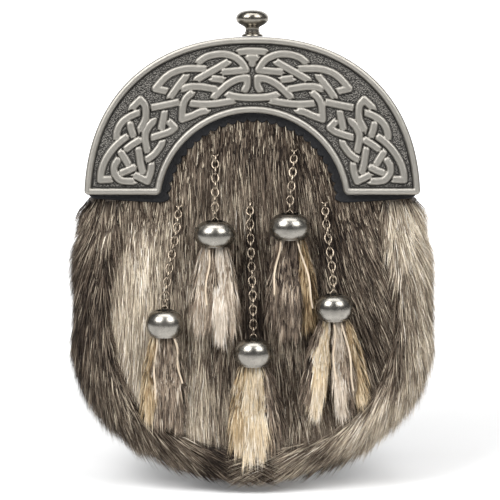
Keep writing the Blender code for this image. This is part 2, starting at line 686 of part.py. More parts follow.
def make_border():
    """The roll of fur round the sides and bottom, in locks that swell towards their tips."""
    right = edge_stations()
    left = [((-edge[0], edge[1]), (-lip[0], lip[1])) for edge, lip in reversed(right[:-1])]
    stations = right + left
    rings = []
    for i, (edge, lip) in enumerate(stations):
        before = stations[max(0, i - 1)][0]
        after = stations[min(len(stations) - 1, i + 1)][0]
        along = Vector((after[0] - before[0], after[1] - before[1])).normalized()
        outward = Vector((-along.y, along.x))
        from_end = min(i, len(stations) - 1 - i)
        if from_end == 0:
            outward = Vector((math.copysign(1, edge[0]), 0))
        fullness = BORDER_TOP_SHARE + (1 - BORDER_TOP_SHARE) * smooth_step(0, 4, from_end)
        lock = (from_end % 3) / 2
        rings.append(border_section(edge, lip, outward, fullness, lock))
    lofted("border_fur", rings, GREY_FUR)


# Chains, caps and tassels
def cap_place(row):
    """The top of a tassel's cap: x, height and depth. The cap rests on the fur at its widest."""
    x, height = (CANTLE_HALF_WIDTH * share for share in row["cap"])
    rest = fur_front(x, height - CAP_HEIGHT * row["high"] / 2)
    return x, height, rest + CAP_WIDTH * row["wide"] / 2


def fur_front(x, height):
    """The depth that just clears the tallest fur."""
    return front_depth(x, height) + SOFT_GAP + FUR_TIP + GAP


def make_cap(row):
    """A thin domed cap, turned: a hole for the chain in its top, its mouth narrower than its middle."""
    radius = CAP_WIDTH * row["wide"] / 2
    tall = CAP_HEIGHT * row["high"]
    outside = [(0.14, 0.0), (0.55, 0.07), (0.88, 0.27), (1.00, 0.53), (0.90, 0.80), (CAP_MOUTH, 1.0)]
    inside = [(CAP_MOUTH, 1.0), (0.92, 0.72), (0.98, 0.50), (0.80, 0.24), (0.14, 0.0)]
    profile = [(radius * wide, -tall * down) for wide, down in outside]
    for wide, down in inside:
        thinner = 0.0 if wide < 0.2 else CAP_WALL
        lower = 0.0 if down > 0.5 else CAP_WALL if down == 0.0 else CAP_WALL / 2
        profile.append((radius * wide - thinner, -tall * down - lower))
    x, height, depth = cap_place(row)
    rings = [turned_ring(r, z, CAP_SIDES, place(x, -depth, height)) for r, z in profile]
    lofted("bell_" + row["name"], rings, POLISHED, closed=True)


def make_chain(row):
    """The outer form of one chain: from the fur where it is sewn in, down and out to its cap's top."""
    start_x, start_height = (CANTLE_HALF_WIDTH * share for share in row["anchor"])
    end_x, end_height, end_depth = cap_place(row)
    end_height += GAP
    start_depth = fur_front(start_x, start_height) + CHAIN_WIDTH / 2
    drop = start_height - end_height
    steps = max(4, round(drop / (2.5 * CHAIN_WIDTH)))
    curve = bpy.data.curves.new("chain_" + row["name"], "CURVE")
    curve.dimensions = "3D"
    curve.bevel_depth = CHAIN_WIDTH / 2
    curve.bevel_resolution = 2
    curve.use_fill_caps = True
    spline = curve.splines.new("POLY")
    spline.points.add(steps)
    for k in range(steps + 1):
        turn = smooth_step(0, 1, k / steps)
        x = start_x + (end_x - start_x) * turn
        height = start_height - drop * k / steps
        clear = fur_front(x, height) + CHAIN_WIDTH / 2
        depth = max(clear, start_depth + (end_depth - start_depth) * turn)
        spline.points[k].co = (*place(x, -depth, height), 1.0)
    curve.materials.append(CHAIN_METAL)
    made = bpy.data.objects.new("chain_" + row["name"], curve)
    bpy.context.scene.collection.objects.link(made)


def strip_ring(x, depth, height, half_width, half_thickness):
    """Six points round one lock, flat side to the front."""
    corners = [(-1.0, 0.0), (-0.5, 1.0), (0.5, 1.0), (1.0, 0.0), (0.5, -1.0), (-0.5, -1.0)]
    return [place(x + half_width * a, -(depth + half_thickness * b), height) for a, b in corners]


def add_lock(mesh_data, start, end, length, slack, spacing):
    """One fur strip: inside the cap's mouth at its start, on the pouch's fur at its tip."""
    x, top, depth = start
    for_wall = min(spacing, slack)
    rings = []
    sections = [
        dict(down=-0.02, wide=0.34, thick=0.62), dict(down=0.22, wide=0.62, thick=0.94),
        dict(down=0.55, wide=0.66, thick=1.00), dict(down=0.85, wide=0.50, thick=0.80),
    ]
    for section in sections:
        down = section["down"]
        at = x + (end - x) * max(0.0, down)
        height = top - length * down
        rest = fur_front(at, height) + TASSEL_THICKNESS / 2
        lean = smooth_step(0.0, 0.6, down)
        width = (for_wall if down < 0 else spacing) * section["wide"]
        half_thickness = TASSEL_THICKNESS / 2 * section["thick"]
        rings.append(strip_ring(at, depth + (rest - depth) * lean, height, width, half_thickness))
    tip = top - length
    rings.append([place(end, -(fur_front(end, tip) + TASSEL_THICKNESS / 2), tip)])
    add_loft(mesh_data, rings)


def make_tassel(row):
    """Strips of fur that leave a head inside the cap, spread, and taper to their tips."""
    x, height, depth = cap_place(row)
    top = height - CAP_HEIGHT * row["high"]
    mouth = CAP_WIDTH * row["wide"] / 2 * CAP_MOUTH - CAP_WALL - SOFT_GAP
    left = TASSEL_SPREAD * row["left"]
    spread = left + TASSEL_SPREAD * row["right"]
    strips = bmesh.new()
    for k in range(TASSEL_STRIPS):
        share = (k + 0.5) / TASSEL_STRIPS
        start = (x + mouth * (2 * share - 1) * 0.6, top, depth)
        length = TASSEL_LENGTH * row["long"] * (0.90 + 0.10 * (k % 2))
        add_lock(strips, start, x + spread * share - left, length, 2 * mouth, spread / TASSEL_STRIPS)
    head = [(0.8, 1.0), (1.0, 0.5), (1.0, 0.0), (0.8, -0.5)]
    centre = place(x, -depth, top)
    rings = [turned_ring(mouth * wide, TASSEL_HEAD * high, HEAD_SIDES, centre) for wide, high in head]
    made = lofted("tassel_" + row["name"], rings, PALE_FUR)
    fuse(made, finished("tassel_strips_" + row["name"], strips, PALE_FUR))


make_cantle()
make_knob()
make_apron()
make_shell()
make_back()
make_strap_loops()
make_front_fur()
make_border()
for tassel in TASSELS:
    make_chain(tassel)
    make_cap(tassel)
    make_tassel(tassel)
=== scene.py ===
# %% [markdown]
# # A dress sporran
# A sporran is the pouch that is worn in front of a kilt. This one has a cast metal arch, the cantle, over
# a pouch of fur on hide, with five fur tassels on chains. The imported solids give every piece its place,
# and this lesson dresses them: metal with a patina, grained leather, and a coat of real hairs.

import math

import bmesh
import bpy
import numpy as np
from mathutils import Matrix, Vector, noise
from mathutils.bvhtree import BVHTree


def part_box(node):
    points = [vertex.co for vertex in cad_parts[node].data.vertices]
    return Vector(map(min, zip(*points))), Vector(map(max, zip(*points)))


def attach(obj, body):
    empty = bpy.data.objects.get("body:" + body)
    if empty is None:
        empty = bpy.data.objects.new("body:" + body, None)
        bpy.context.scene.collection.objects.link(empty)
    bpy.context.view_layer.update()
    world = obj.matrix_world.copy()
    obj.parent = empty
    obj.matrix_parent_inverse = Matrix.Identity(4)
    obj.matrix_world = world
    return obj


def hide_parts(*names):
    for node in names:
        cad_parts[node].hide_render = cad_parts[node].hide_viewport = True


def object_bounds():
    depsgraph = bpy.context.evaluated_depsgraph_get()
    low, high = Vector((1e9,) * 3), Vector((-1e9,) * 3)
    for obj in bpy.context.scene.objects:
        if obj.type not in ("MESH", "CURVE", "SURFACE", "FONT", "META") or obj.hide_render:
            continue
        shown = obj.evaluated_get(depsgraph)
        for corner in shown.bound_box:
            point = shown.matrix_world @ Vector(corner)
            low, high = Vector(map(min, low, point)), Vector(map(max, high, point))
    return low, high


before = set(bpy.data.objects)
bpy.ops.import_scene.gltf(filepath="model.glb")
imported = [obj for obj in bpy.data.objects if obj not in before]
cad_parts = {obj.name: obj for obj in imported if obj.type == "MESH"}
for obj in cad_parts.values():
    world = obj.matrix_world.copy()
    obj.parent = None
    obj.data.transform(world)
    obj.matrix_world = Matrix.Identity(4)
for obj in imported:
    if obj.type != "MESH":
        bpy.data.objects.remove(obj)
cad_box = [list(corner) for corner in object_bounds()]
scene = bpy.context.scene
MM = 0.001
print("nodes:", ", ".join(sorted(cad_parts)))

# %% [markdown]
# ## Sizes from the frame
# A piece that stands for a solid has to stay where the solid is. So the sizes that place things are read
# from the boxes of the solids, and only sizes that no box can give are named here.

# %% Read the sizes
cantle_low, cantle_high = (Vector(corner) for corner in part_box("cantle"))
HALF_WIDTH = (cantle_high.x - cantle_low.x) / 2
ARCH_Z = cantle_high.z - HALF_WIDTH
BASE = cantle_low.z - ARCH_Z
ARCH_RADIUS = 46.2 * MM
SQUARENESS = 2.27
RIM_TOP = -cantle_low.y
RIM_HEIGHT = 1.8 * MM
FIELD = RIM_TOP - RIM_HEIGHT
PLATE = 2.4 * MM
WALL = 2.0 * MM
WALL_BACK = -cantle_high.y
print(f"cantle half-width {HALF_WIDTH / MM:.1f} mm, arch centre at z {ARCH_Z / MM:.1f} mm")

# %% [markdown]
# ## Node trees as Python
# Blender's materials and Geometry Nodes are both trees of nodes. Wiring them by hand in a script is long
# and hard to read, so two small classes do it. Tree.add makes any node from its type, its settings and the
# values of its sockets. Wire wraps an output, and Python's own operators on it add Math nodes.

# %% Two classes for trees
class Wire:
    """One output of a node. Arithmetic on it adds Math nodes to its tree."""

    def __init__(self, tree, socket):
        self.tree = tree
        self.socket = socket

    def out(self, name):
        """Another output of the same node."""
        return Wire(self.tree, enabled(self.socket.node.outputs, name))

    def math(self, operation, *values):
        return self.tree.add("ShaderNodeMath", {"operation": operation}, dict(enumerate(values)))

    def __add__(self, other):
        return self.math("ADD", self, other)

    def __sub__(self, other):
        return self.math("SUBTRACT", self, other)

    def __rsub__(self, other):
        return self.math("SUBTRACT", other, self)

    def __mul__(self, other):
        return self.math("MULTIPLY", self, other)

    def __truediv__(self, other):
        return self.math("DIVIDE", self, other)

    def __pow__(self, other):
        return self.math("POWER", self, other)

    __radd__ = __add__
    __rmul__ = __mul__


def enabled(sockets, key):
    """A socket by its number, or the first one in use that has this name."""
    if isinstance(key, int):
        return sockets[key]
    return next(socket for socket in sockets if socket.name == key and socket.enabled)


class Tree:
    """A node tree, of a material or of Geometry Nodes, with one method that makes its nodes."""

    def __init__(self, node_tree):
        self.nodes = node_tree.nodes
        self.links = node_tree.links

    def add(self, kind, settings=None, sockets=None, output=None):
        node = self.nodes.new(kind)
        for name, value in (settings or {}).items():
            if name == "stops":
                set_stops(node.color_ramp, value)
            else:
                setattr(node, name, value)
        for key, value in (sockets or {}).items():
            self.put(enabled(node.inputs, key), value)
        first = next((socket for socket in node.outputs if socket.enabled), None)
        return Wire(self, first if output is None else enabled(node.outputs, output))

    def put(self, socket, value):
        """Sets a socket to a number, or links an output to it."""
        if isinstance(value, Wire):
            self.links.new(value.socket, socket)
        else:
            socket.default_value = value


def set_stops(ramp, stops):
    """Gives a colour ramp its stops, each a position and a colour or a grey."""
    while len(ramp.elements) > 1:
        ramp.elements.remove(ramp.elements[-1])
    for number, (position, colour) in enumerate(stops):
        stop = ramp.elements[0] if number == 0 else ramp.elements.new(position)
        stop.position = position
        stop.color = (*colour, 1.0) if isinstance(colour, tuple) else (colour, colour, colour, 1.0)


# %% [markdown]
# ## Metal
# The cantle is an antique pewter casting: it was blackened all over and rubbed back, so the recesses stay
# dark and the crests shine. One attribute on the mesh says how high each point stands, and the finish reads
# it. The knob, the caps and the chains have no recesses, so noise alone varies theirs.

# %% Material helpers
def new_finish(name):
    """A material with a Principled shader, and the tree to add nodes to."""
    made = bpy.data.materials.new(name)
    made.use_nodes = True
    tree = Tree(made.node_tree)
    return made, tree, made.node_tree.nodes["Principled BSDF"]


def set_shader(tree, shader, **sockets):
    """Sets or links the shader's sockets, named with _ for a space."""
    for name, value in sockets.items():
        tree.put(shader.inputs[name.replace("_", " ")], value)


def mottle(tree, scale, detail=3.0, rough=0.55, stretch=None):
    """Noise in object space, 0 to 1. Stretch scales the space along x, y and z first."""
    place = tree.add("ShaderNodeTexCoord", output="Object")
    if stretch:
        place = tree.add("ShaderNodeMapping", None, {"Vector": place, "Scale": stretch})
    return tree.add("ShaderNodeTexNoise", None,
                    {"Vector": place, "Scale": scale, "Detail": detail, "Roughness": rough})


def ramp(tree, value, *stops):
    return tree.add("ShaderNodeValToRGB", {"stops": stops}, {"Fac": value})


def blend(tree, share, one, two):
    """A colour mixed from two."""
    return tree.add("ShaderNodeMix", {"data_type": "RGBA"}, {"Factor": share, "A": one, "B": two})


def bump(tree, height, distance, strength=1.0):
    return tree.add("ShaderNodeBump", None, {"Height": height, "Distance": distance, "Strength": strength})


# %% Antique pewter
PEWTER_TONES = [
    (0.0, (0.012, 0.011, 0.010)), (0.22, (0.060, 0.057, 0.053)), (0.45, (0.185, 0.176, 0.160)),
    (0.72, (0.290, 0.274, 0.245)), (1.0, (0.42, 0.40, 0.36)),
]
PUNCH_SCALE = 1500.0
PUNCH_LEAN = 0.5
PUNCH_STRETCH = (0.72, 1.0, 1.25)
METAL_GRAIN = 0.16 * MM


def antique_pewter():
    made, tree, shader = new_finish("antique_pewter")
    relief = tree.add("ShaderNodeAttribute", {"attribute_name": "relief"}, output="Fac")
    field = tree.add("ShaderNodeAttribute", {"attribute_name": "field"}, output="Fac")
    smudge = mottle(tree, 90.0, 5.0, 0.62)
    place = tree.add("ShaderNodeTexCoord", output="Object")
    dashes = tree.add("ShaderNodeMapping", None,
                      {"Vector": place, "Rotation": (0.0, PUNCH_LEAN, 0.0), "Scale": PUNCH_STRETCH})
    punched = tree.add("ShaderNodeTexVoronoi", {"feature": "F1"}, {"Vector": dashes, "Scale": PUNCH_SCALE},
                       output="Distance")
    pits = ramp(tree, punched, (0.15, 0.0), (0.62, 1.0))
    worn = relief + (smudge - 0.5) * 0.16 + field * (0.38 - pits) * 0.56
    grain = mottle(tree, 1400.0, 2.0)
    height = grain * 0.40 - field * pits * 1.7
    set_shader(tree, shader, Base_Color=ramp(tree, worn, *PEWTER_TONES), Metallic=0.9,
               Roughness=0.56 - relief * 0.10 + (smudge - 0.5) * 0.12, Normal=bump(tree, height, METAL_GRAIN))
    return made


# %% Polished metals
HANDLING_MARKS = 0.03 * MM


def bright_metal(name, dark, light, roughness):
    """Polished metal with faint handling marks."""
    made, tree, shader = new_finish(name)
    cloud = mottle(tree, 160.0, 5.0, 0.6)
    marks = mottle(tree, 1500.0, 2.0)
    patchy = ramp(tree, cloud, (0.3, 0.0), (0.7, 1.0))
    set_shader(tree, shader, Base_Color=blend(tree, patchy, dark, light), Metallic=1.0,
               Roughness=roughness + (cloud - 0.5) * 0.12, Normal=bump(tree, marks, HANDLING_MARKS))
    return made


PEWTER = antique_pewter()
NICKEL = bright_metal("antique_nickel", (0.20, 0.19, 0.17, 1), (0.36, 0.34, 0.305, 1), 0.27)
KNOB_NICKEL = bright_metal("knob_nickel", (0.20, 0.185, 0.155, 1), (0.33, 0.305, 0.265, 1), 0.24)
GUNMETAL = bright_metal("gunmetal_links", (0.13, 0.105, 0.080, 1), (0.42, 0.35, 0.27, 1), 0.27)
print("metal finishes:", PEWTER.name, NICKEL.name, KNOB_NICKEL.name, GUNMETAL.name)

# %% [markdown]
# ## Leather
# The pouch and its back are black leather. Its grain is a pattern of small cells, which a Voronoi texture
# gives as bump, with a little noise in its colour and gloss where it has been handled.

# %% Black leather
PEBBLE_SCALE = 900.0
PEBBLE_DEPTH = 0.16 * MM
TWIST_DEPTH = 0.1 * MM


def black_leather():
    made, tree, shader = new_finish("black_leather_grain")
    place = tree.add("ShaderNodeTexCoord", output="Object")
    cells = tree.add("ShaderNodeTexVoronoi", {"feature": "DISTANCE_TO_EDGE"},
                     {"Vector": place, "Scale": PEBBLE_SCALE}, output="Distance")
    pebble = ramp(tree, cells, (0.0, 0.0), (0.16, 0.8), (0.5, 1.0))
    cloud = mottle(tree, 45.0, 4.0)
    worn = ramp(tree, cloud, (0.35, 0.0), (0.75, 1.0))
    set_shader(tree, shader,
               Base_Color=blend(tree, worn, (0.008, 0.008, 0.009, 1), (0.019, 0.0195, 0.022, 1)),
               Roughness=0.46 + cloud * 0.20, Normal=bump(tree, pebble, PEBBLE_DEPTH, 0.8))
    shader.inputs["Specular IOR Level"].default_value = 0.24
    return made


def waxed_thread():
    made, tree, shader = new_finish("waxed_thread")
    twist = mottle(tree, 2600.0, 1.0)
    set_shader(tree, shader, Roughness=0.55, Normal=bump(tree, twist, TWIST_DEPTH),
               Base_Color=blend(tree, twist, (0.045, 0.043, 0.042, 1), (0.12, 0.115, 0.11, 1)))
    return made


LEATHER = black_leather()
THREAD = waxed_thread()
print("leather and thread:", LEATHER.name, THREAD.name)

# %% [markdown]
# ## Fur
# Each hair is a thin tapered blade. Its colour doesn't come from where it is: it comes from the hair's own
# UV map, with the tone across and the distance from root to tip along. The tones run along one ramp, from
# near black through grey brown to cream, so one material colours the whole coat. The tassels have ramps of
# their own, because some of their strips are grey and some golden.

# %% Ramps of tone
FUR_TONES = [
    (0.00, (0.010, 0.006, 0.004)), (0.18, (0.036, 0.024, 0.017)), (0.36, (0.115, 0.084, 0.060)),
    (0.52, (0.235, 0.186, 0.140)), (0.66, (0.46, 0.385, 0.290)), (0.82, (0.78, 0.68, 0.52)),
    (0.92, (0.90, 0.82, 0.70)), (1.00, (0.94, 0.88, 0.80)),
]
TASSEL_TONES = [
    (0.00, (0.010, 0.006, 0.004)), (0.14, (0.038, 0.027, 0.021)), (0.28, (0.110, 0.083, 0.064)),
    (0.42, (0.23, 0.172, 0.126)), (0.56, (0.39, 0.308, 0.228)), (0.70, (0.62, 0.525, 0.415)),
    (0.84, (0.77, 0.69, 0.59)), (1.00, (0.87, 0.82, 0.75)),
]
GOLD_TONES = [
    (0.00, (0.014, 0.008, 0.004)), (0.20, (0.085, 0.050, 0.025)), (0.40, (0.26, 0.170, 0.085)),
    (0.56, (0.46, 0.335, 0.190)), (0.70, (0.65, 0.510, 0.330)), (0.84, (0.79, 0.670, 0.485)),
    (1.00, (0.88, 0.81, 0.70)),
]
# Along each hair: a dark root, partly the hair's own banding and partly painted shade deep in the coat, then
# pale past the middle and a little darker at the tip.
ROOT_SHADE_AND_BANDS = [(0.0, 0.16), (0.30, 0.62), (0.62, 1.0), (1.0, 0.92)]
print("fur tones:", len(FUR_TONES), len(TASSEL_TONES), len(GOLD_TONES))

# %% Fur and hide
def fur_finish(name, tones):
    """Hair toned across its UV map, its root darker by its own banding and by painted shade deep in the coat.
    """
    made, tree, shader = new_finish(name)
    strand = tree.add("ShaderNodeUVMap", {"uv_map": "OFBake"})
    split = tree.add("ShaderNodeSeparateXYZ", None, {"Vector": strand}, output="X")
    tone = ramp(tree, split, *tones)
    shade = ramp(tree, split.out("Y"), *ROOT_SHADE_AND_BANDS)
    colour = tree.add("ShaderNodeMix", {"data_type": "RGBA", "blend_type": "MULTIPLY"},
                      {"Factor": 1.0, "A": tone, "B": shade})
    set_shader(tree, shader, Base_Color=colour, Roughness=0.6)
    shader.inputs["Specular IOR Level"].default_value = 0.15
    return made


def hide_finish(name, dark, light):
    """Skin under the hairs, and the cut edges of fur strips."""
    made, tree, shader = new_finish(name)
    fibre = mottle(tree, 420.0, 4.0, 0.6, stretch=(1.0, 1.0, 0.25))
    set_shader(tree, shader, Base_Color=blend(tree, fibre, dark, light), Roughness=0.7,
               Normal=bump(tree, fibre, 0.2 * MM))
    return made


FUR = fur_finish("fur_hairs", FUR_TONES)
TASSEL_FUR = fur_finish("tassel_hairs", TASSEL_TONES)
GOLDEN_FUR = fur_finish("golden_hairs", GOLD_TONES)
UNDERFUR = hide_finish("underfur", (0.045, 0.035, 0.028, 1), (0.12, 0.095, 0.075, 1))
HIDE = hide_finish("hide_edge", (0.46, 0.35, 0.24, 1), (0.72, 0.62, 0.48, 1))
print("fur finishes:", ", ".join(made.name for made in (FUR, TASSEL_FUR, GOLDEN_FUR, UNDERFUR, HIDE)))

# %% [markdown]
# ## Mesh helpers
# Most pieces start as rows of points joined by faces, so one function makes those. Another turns a profile
# about an upright axis, as a lathe does.

# %% Rows of points into a mesh
def piece_from(name, points, faces, finish, smooth=True):
    mesh = bpy.data.meshes.new(name)
    mesh.from_pydata([tuple(p) for p in points], [], faces)
    mesh.materials.append(finish)
    made = bpy.data.objects.new(name, mesh)
    scene.collection.objects.link(made)
    if smooth:
        mesh.shade_smooth()
    return made


def strip_faces(rows, columns, around=False, first=0):
    """Quads between rows of points. Around also joins each row's last point to its first."""
    faces = []
    for row in range(rows - 1):
        for column in range(columns if around else columns - 1):
            a = first + row * columns + column
            b = first + row * columns + (column + 1) % columns
            faces.append((a, b, b + columns, a + columns))
    return faces


def end_caps(around, last):
    """The faces that close a loft's first and last rings."""
    return [tuple(range(around)), tuple(range(last, last + around))]


def outward(made, merge=True):
    """Turns every face outwards, after merging doubles."""
    shape = bmesh.new()
    shape.from_mesh(made.data)
    if merge:
        bmesh.ops.remove_doubles(shape, verts=shape.verts, dist=0.00001)
    bmesh.ops.recalc_face_normals(shape, faces=shape.faces)
    shape.to_mesh(made.data)
    shape.free()
    return made


# %% Turned shapes and smooth lines
def lathe(name, profile, centre, finish, sides=56, nod=0.0):
    """Turns a profile of (radius, height) points. A closed profile gives a wall. Nod tips the top forward."""
    points, rows = [], len(profile)
    middle = Vector((0, 0, max(height for _, height in profile) / 2))
    tip = Matrix.Rotation(nod, 3, "X")
    for radius, height in profile:
        for side in range(sides):
            angle = 2 * math.pi * side / sides
            place = Vector((radius * math.cos(angle), radius * math.sin(angle), height))
            points.append(centre + middle + tip @ (place - middle))
    return outward(piece_from(name, points, strip_faces(rows, sides, around=True), finish))


def smooth_line(points, steps, sharpest=50.0):
    """A line through points, curved between them but kept sharp where it turns by more than sharpest."""
    points = [Vector(p) for p in points]
    corners = [0]
    for i in range(1, len(points) - 1):
        turn = (points[i] - points[i - 1]).angle(points[i + 1] - points[i])
        if math.degrees(turn) > sharpest:
            corners.append(i)
    corners.append(len(points) - 1)
    line = [points[0]]
    for start, end in zip(corners, corners[1:]):
        run = points[start:end + 1]
        for i in range(len(run) - 1):
            before = run[max(0, i - 1)]
            after = run[min(len(run) - 1, i + 2)]
            for k in range(1, steps + 1):
                t = k / steps
                one, two = run[i], run[i + 1]
                bend = 2 * before - 5 * one + 4 * two - after
                swing = 3 * one - before - 3 * two + after
                line.append(0.5 * (2 * one + (two - before) * t + bend * t * t + swing * t**3))
    return line


# %% Hand a piece over
def hand_over(made, slot, *nodes):
    """Hangs a finished piece on the root and hides the solids that it stands for. The slot is not used."""
    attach(made, "root")
    if nodes:
        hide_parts(*nodes)
    made.data.calc_loop_triangles()
    print(f"{made.name}: {len(made.data.loop_triangles)} triangles")
    return made


# %% [markdown]
# ## The cantle
# On the real cantle the interlace is cast: round strands that end where another one crosses, over a punched
# field, inside a raised rim. A grid bends round the arch here, fine enough for each strand, and each point's
# height is worked out from its distance to the strands and to the edges. The strands of the left half
# are charted once on squares, and the right half mirrors them.

# %% The interlace chart
CHART_HALF_WIDTH = 168.4
CHART_ARCH_RADIUS = 92.4
STRANDS = {
    "foot_hook": [(126, 68.5), (132, 64), (140, 56), (147, 45.5), (151, 35), (152, 25.5), (141.5, 26)],
    "shoulder_bow": [(114.5, 92.5), (121.5, 89.5), (128.5, 85), (133, 79.5), (135.5, 73), (136, 68)],
    "upper_tie": [(122.3, 81.5), (121, 76), (119, 69.8)],
    "shoulder_peak": [(120.3, 98), (112, 106), (107.3, 100), (106.5, 90), (108.5, 83), (112.5, 75.5)],
    "inner_wave": [(99.5, 83.5), (103.7, 78.8), (106.7, 73), (107.2, 67), (106.3, 61), (105, 54.5)],
    "middle_tie": [(126.3, 56.2), (120, 61), (112.5, 65.5)],
    "lower_tie": [(131.5, 53), (127.2, 46.6), (124, 41)],
    "round_loop": [(134.5, 45.5), (137.8, 40), (138.3, 34), (135.5, 28.5), (130.5, 24.7), (119, 24)],
    "loop_tie": [(131.3, 32.3), (124.5, 35), (118, 38)],
    "heel_bar": [(114, 56), (113, 50), (111.7, 41.5), (109.3, 32.5)],
    "heel_hook": [(100.8, 40.5), (101.8, 33), (105, 24), (118, 30.5)],
    "inner_bow": [(90.3, 62.5), (93.5, 57), (98.5, 50.8), (105.5, 45.8)],
    "inner_hook": [(100, 68), (91, 70.8), (83, 73.6), (77.5, 77.8), (83, 83.5)],
    "side_tie": [(87.7, 93), (89.3, 85), (91.2, 77)],
    "long_tie": [(100.3, 97.8), (88, 100.2), (73.8, 103.3)],
    "wide_hook": [(60.7, 112.3), (66.3, 107), (69.5, 99), (70.3, 86), (59.5, 90), (53, 93), (46.5, 94.5)],
    "inner_sweep": [(61.3, 102), (50, 101.2), (39, 101.5), (28.5, 103), (19, 104.6)],
    "band_bar": [(69, 116.5), (62.7, 118.6), (53, 118.8), (44, 117.5), (36.5, 116.3)],
    "cross_tie": [(66.3, 129.3), (74, 119.8), (82.2, 108.2)],
    "outer_hook": [(47.8, 136.6), (57, 136.9), (67, 136.6), (77.5, 133.8), (87, 128), (97, 116.8),
                   (86, 114.3)],
    "crown_bow": [(53.5, 143.5), (47.3, 148), (38.5, 150.8), (28.3, 151.4), (19, 149), (11.5, 144),
                  (6.2, 135.6), (18, 134.3), (29.7, 133.5)],
    "crown_tie": [(24, 143.7), (39, 135.2), (55, 126.2)],
    "crown_chip": [(40.2, 127), (29, 125.6)],
    "heart_bow": [(38.5, 108.3), (31.5, 115.2), (23.3, 122), (14.3, 126.2), (5, 127.4), (5.3, 120),
                  (7.8, 115.4)],
    "boat": [(24.5, 110.8), (17.5, 108.8), (8.7, 107.9), (0, 107.6), (-8, 107.9)],
    "crown_cap": [(12, 153.6), (6, 154.3), (0, 154.5), (-6, 154.3)],
    "wedge": [(4, 147.6), (0, 147.8), (0, 141.8), (0.2, 147.8), (-4, 147.6)],
}
print("strands charted:", len(STRANDS))


# %% Distances to the strands
STRAND_HALF = 4.15
STRAND_HEIGHT = 1.35 * MM
END_GRIP = 0.8
TAIL = 4.6
TAIL_GAP = 1.20
TAIL_TAPER = 0.55
FAR = 9.0


def reach_of(line, x, z, tapered=False):
    """How far chart points lie from a line in half-widths. The ends are blunt, or taper along one piece."""
    best = np.full(x.shape, FAR)
    low = line.min(0) - 2 * STRAND_HALF
    high = line.max(0) + 2 * STRAND_HALF
    near = (x > low[0]) & (x < high[0]) & (z > low[1]) & (z < high[1])
    px, pz = x[near], z[near]
    found = np.full(px.shape, FAR)
    for i, (one, two) in enumerate(zip(line, line[1:])):
        run = two - one
        length = np.hypot(*run)
        along = ((px - one[0]) * run[0] + (pz - one[1]) * run[1]) / length
        held = np.clip(along, 0, length)
        over = np.abs(along - held)
        side = np.hypot(px - one[0] - run[0] * held / length, pz - one[1] - run[1] * held / length)
        side = np.sqrt(np.maximum(side**2 - over**2, 0))
        blunt = (i == 0) & (along < 0) | (i == len(line) - 2) & (along > length)
        over = over * np.where(blunt, STRAND_HALF / END_GRIP, 1.0)
        half = STRAND_HALF * (1 - TAIL_TAPER * np.clip(held / length, 0, 1) ** 2) if tapered else STRAND_HALF
        found = np.minimum(found, np.hypot(side / half, over / STRAND_HALF))
    best[near] = found
    return best


def strand_reach(x, z):
    """For chart points, 0 at the middle of the nearest strand and 1 at its side.

    Each strand runs on a little past its ends, and is cut there beside any strand that crosses it."""
    lines = [np.array([tuple(p) for p in smooth_line([(a, b, 0) for a, b in chart], 4)])[:, :2]
             for chart in STRANDS.values()]
    bodies = np.stack([reach_of(line, x, z) for line in lines])
    order = np.sort(bodies, 0)[:2]
    nearest = bodies.argmin(0)
    reach = order[0].copy()
    for i, line in enumerate(lines):
        others = np.where(nearest == i, order[1], order[0])
        for end, before in ((line[0], line[1]), (line[-1], line[-2])):
            way = (end - before) / np.hypot(*(end - before))
            tail = reach_of(np.array([end - way, end + way * TAIL]), x, z, tapered=True)
            reach = np.minimum(reach, np.maximum(tail, 1 + TAIL_GAP - others))
    return reach


# %% [markdown]
# The rim is a rounded bead along every edge, with a fine groove inside it. The same grid has a distance to
# each edge, so the bead is one more height that is laid over the strands.

# %% A band round the arch
COLUMNS, ROWS = 641, 119
ACROSS = np.linspace(0, 1, ROWS)
RIM_WIDTH = 3.4 * MM
GROOVE = 0.9 * MM
CORNER = 2.2 * MM


def squared_radius(angle, half_width=HALF_WIDTH):
    """Distance from the arch's centre to the cantle's edge, at angles from the vertical."""
    sides = np.abs(np.sin(angle)) ** SQUARENESS + np.abs(np.cos(angle)) ** SQUARENESS
    return half_width * sides ** (-1 / SQUARENESS)


def bead(distance, width):
    """A rounded rim's height at a distance from its edge, as a share."""
    return np.clip(1 - np.abs(2 * distance / width - 1) ** 2.3, 0, 1) ** 0.5


def arched_band(columns, across, radius, half_width, base, corners):
    """A band that bends round the arch, with rounded feet: x, z, and distances from its three edges."""
    turn = np.linspace(-1, 1, columns)[:, None]
    across = across[None, :]
    radius = np.broadcast_to(radius, turn.shape)
    inner = turn * math.acos(base / radius[0, 0])
    outer = turn * math.acos(base / half_width)
    reach = squared_radius(outer, half_width)
    start_x, start_z = radius * np.sin(inner), radius * np.cos(inner)
    run_x = reach * np.sin(outer) - start_x
    run_z = reach * np.cos(outer) - start_z
    width = np.hypot(run_x, run_z)
    x = start_x + run_x * across
    z = start_z + run_z * across
    from_arch, from_edge, from_base = width * across, width * (1 - across), z - base
    for side, distance, corner in ((1, from_arch, corners[0]), (-1, from_edge, corners[1])):
        one = np.clip(corner - distance, 0, corner)
        two = np.clip(corner - from_base, 0, corner)
        shrink = 1 - np.maximum(one, two) / np.maximum(np.hypot(one, two), 1e-9)
        x = x + side * run_x / width * one * shrink * (two > 0)
        z = z + two * shrink * (one > 0)
    return x, z, from_arch, from_edge, from_base


# %% The cantle's relief
CUT_AT = 1.10
CUT_SPREAD = 0.10
CUT_DEPTH = 0.25 * MM
CUT_DARK = 0.85
FLAT = 0.05


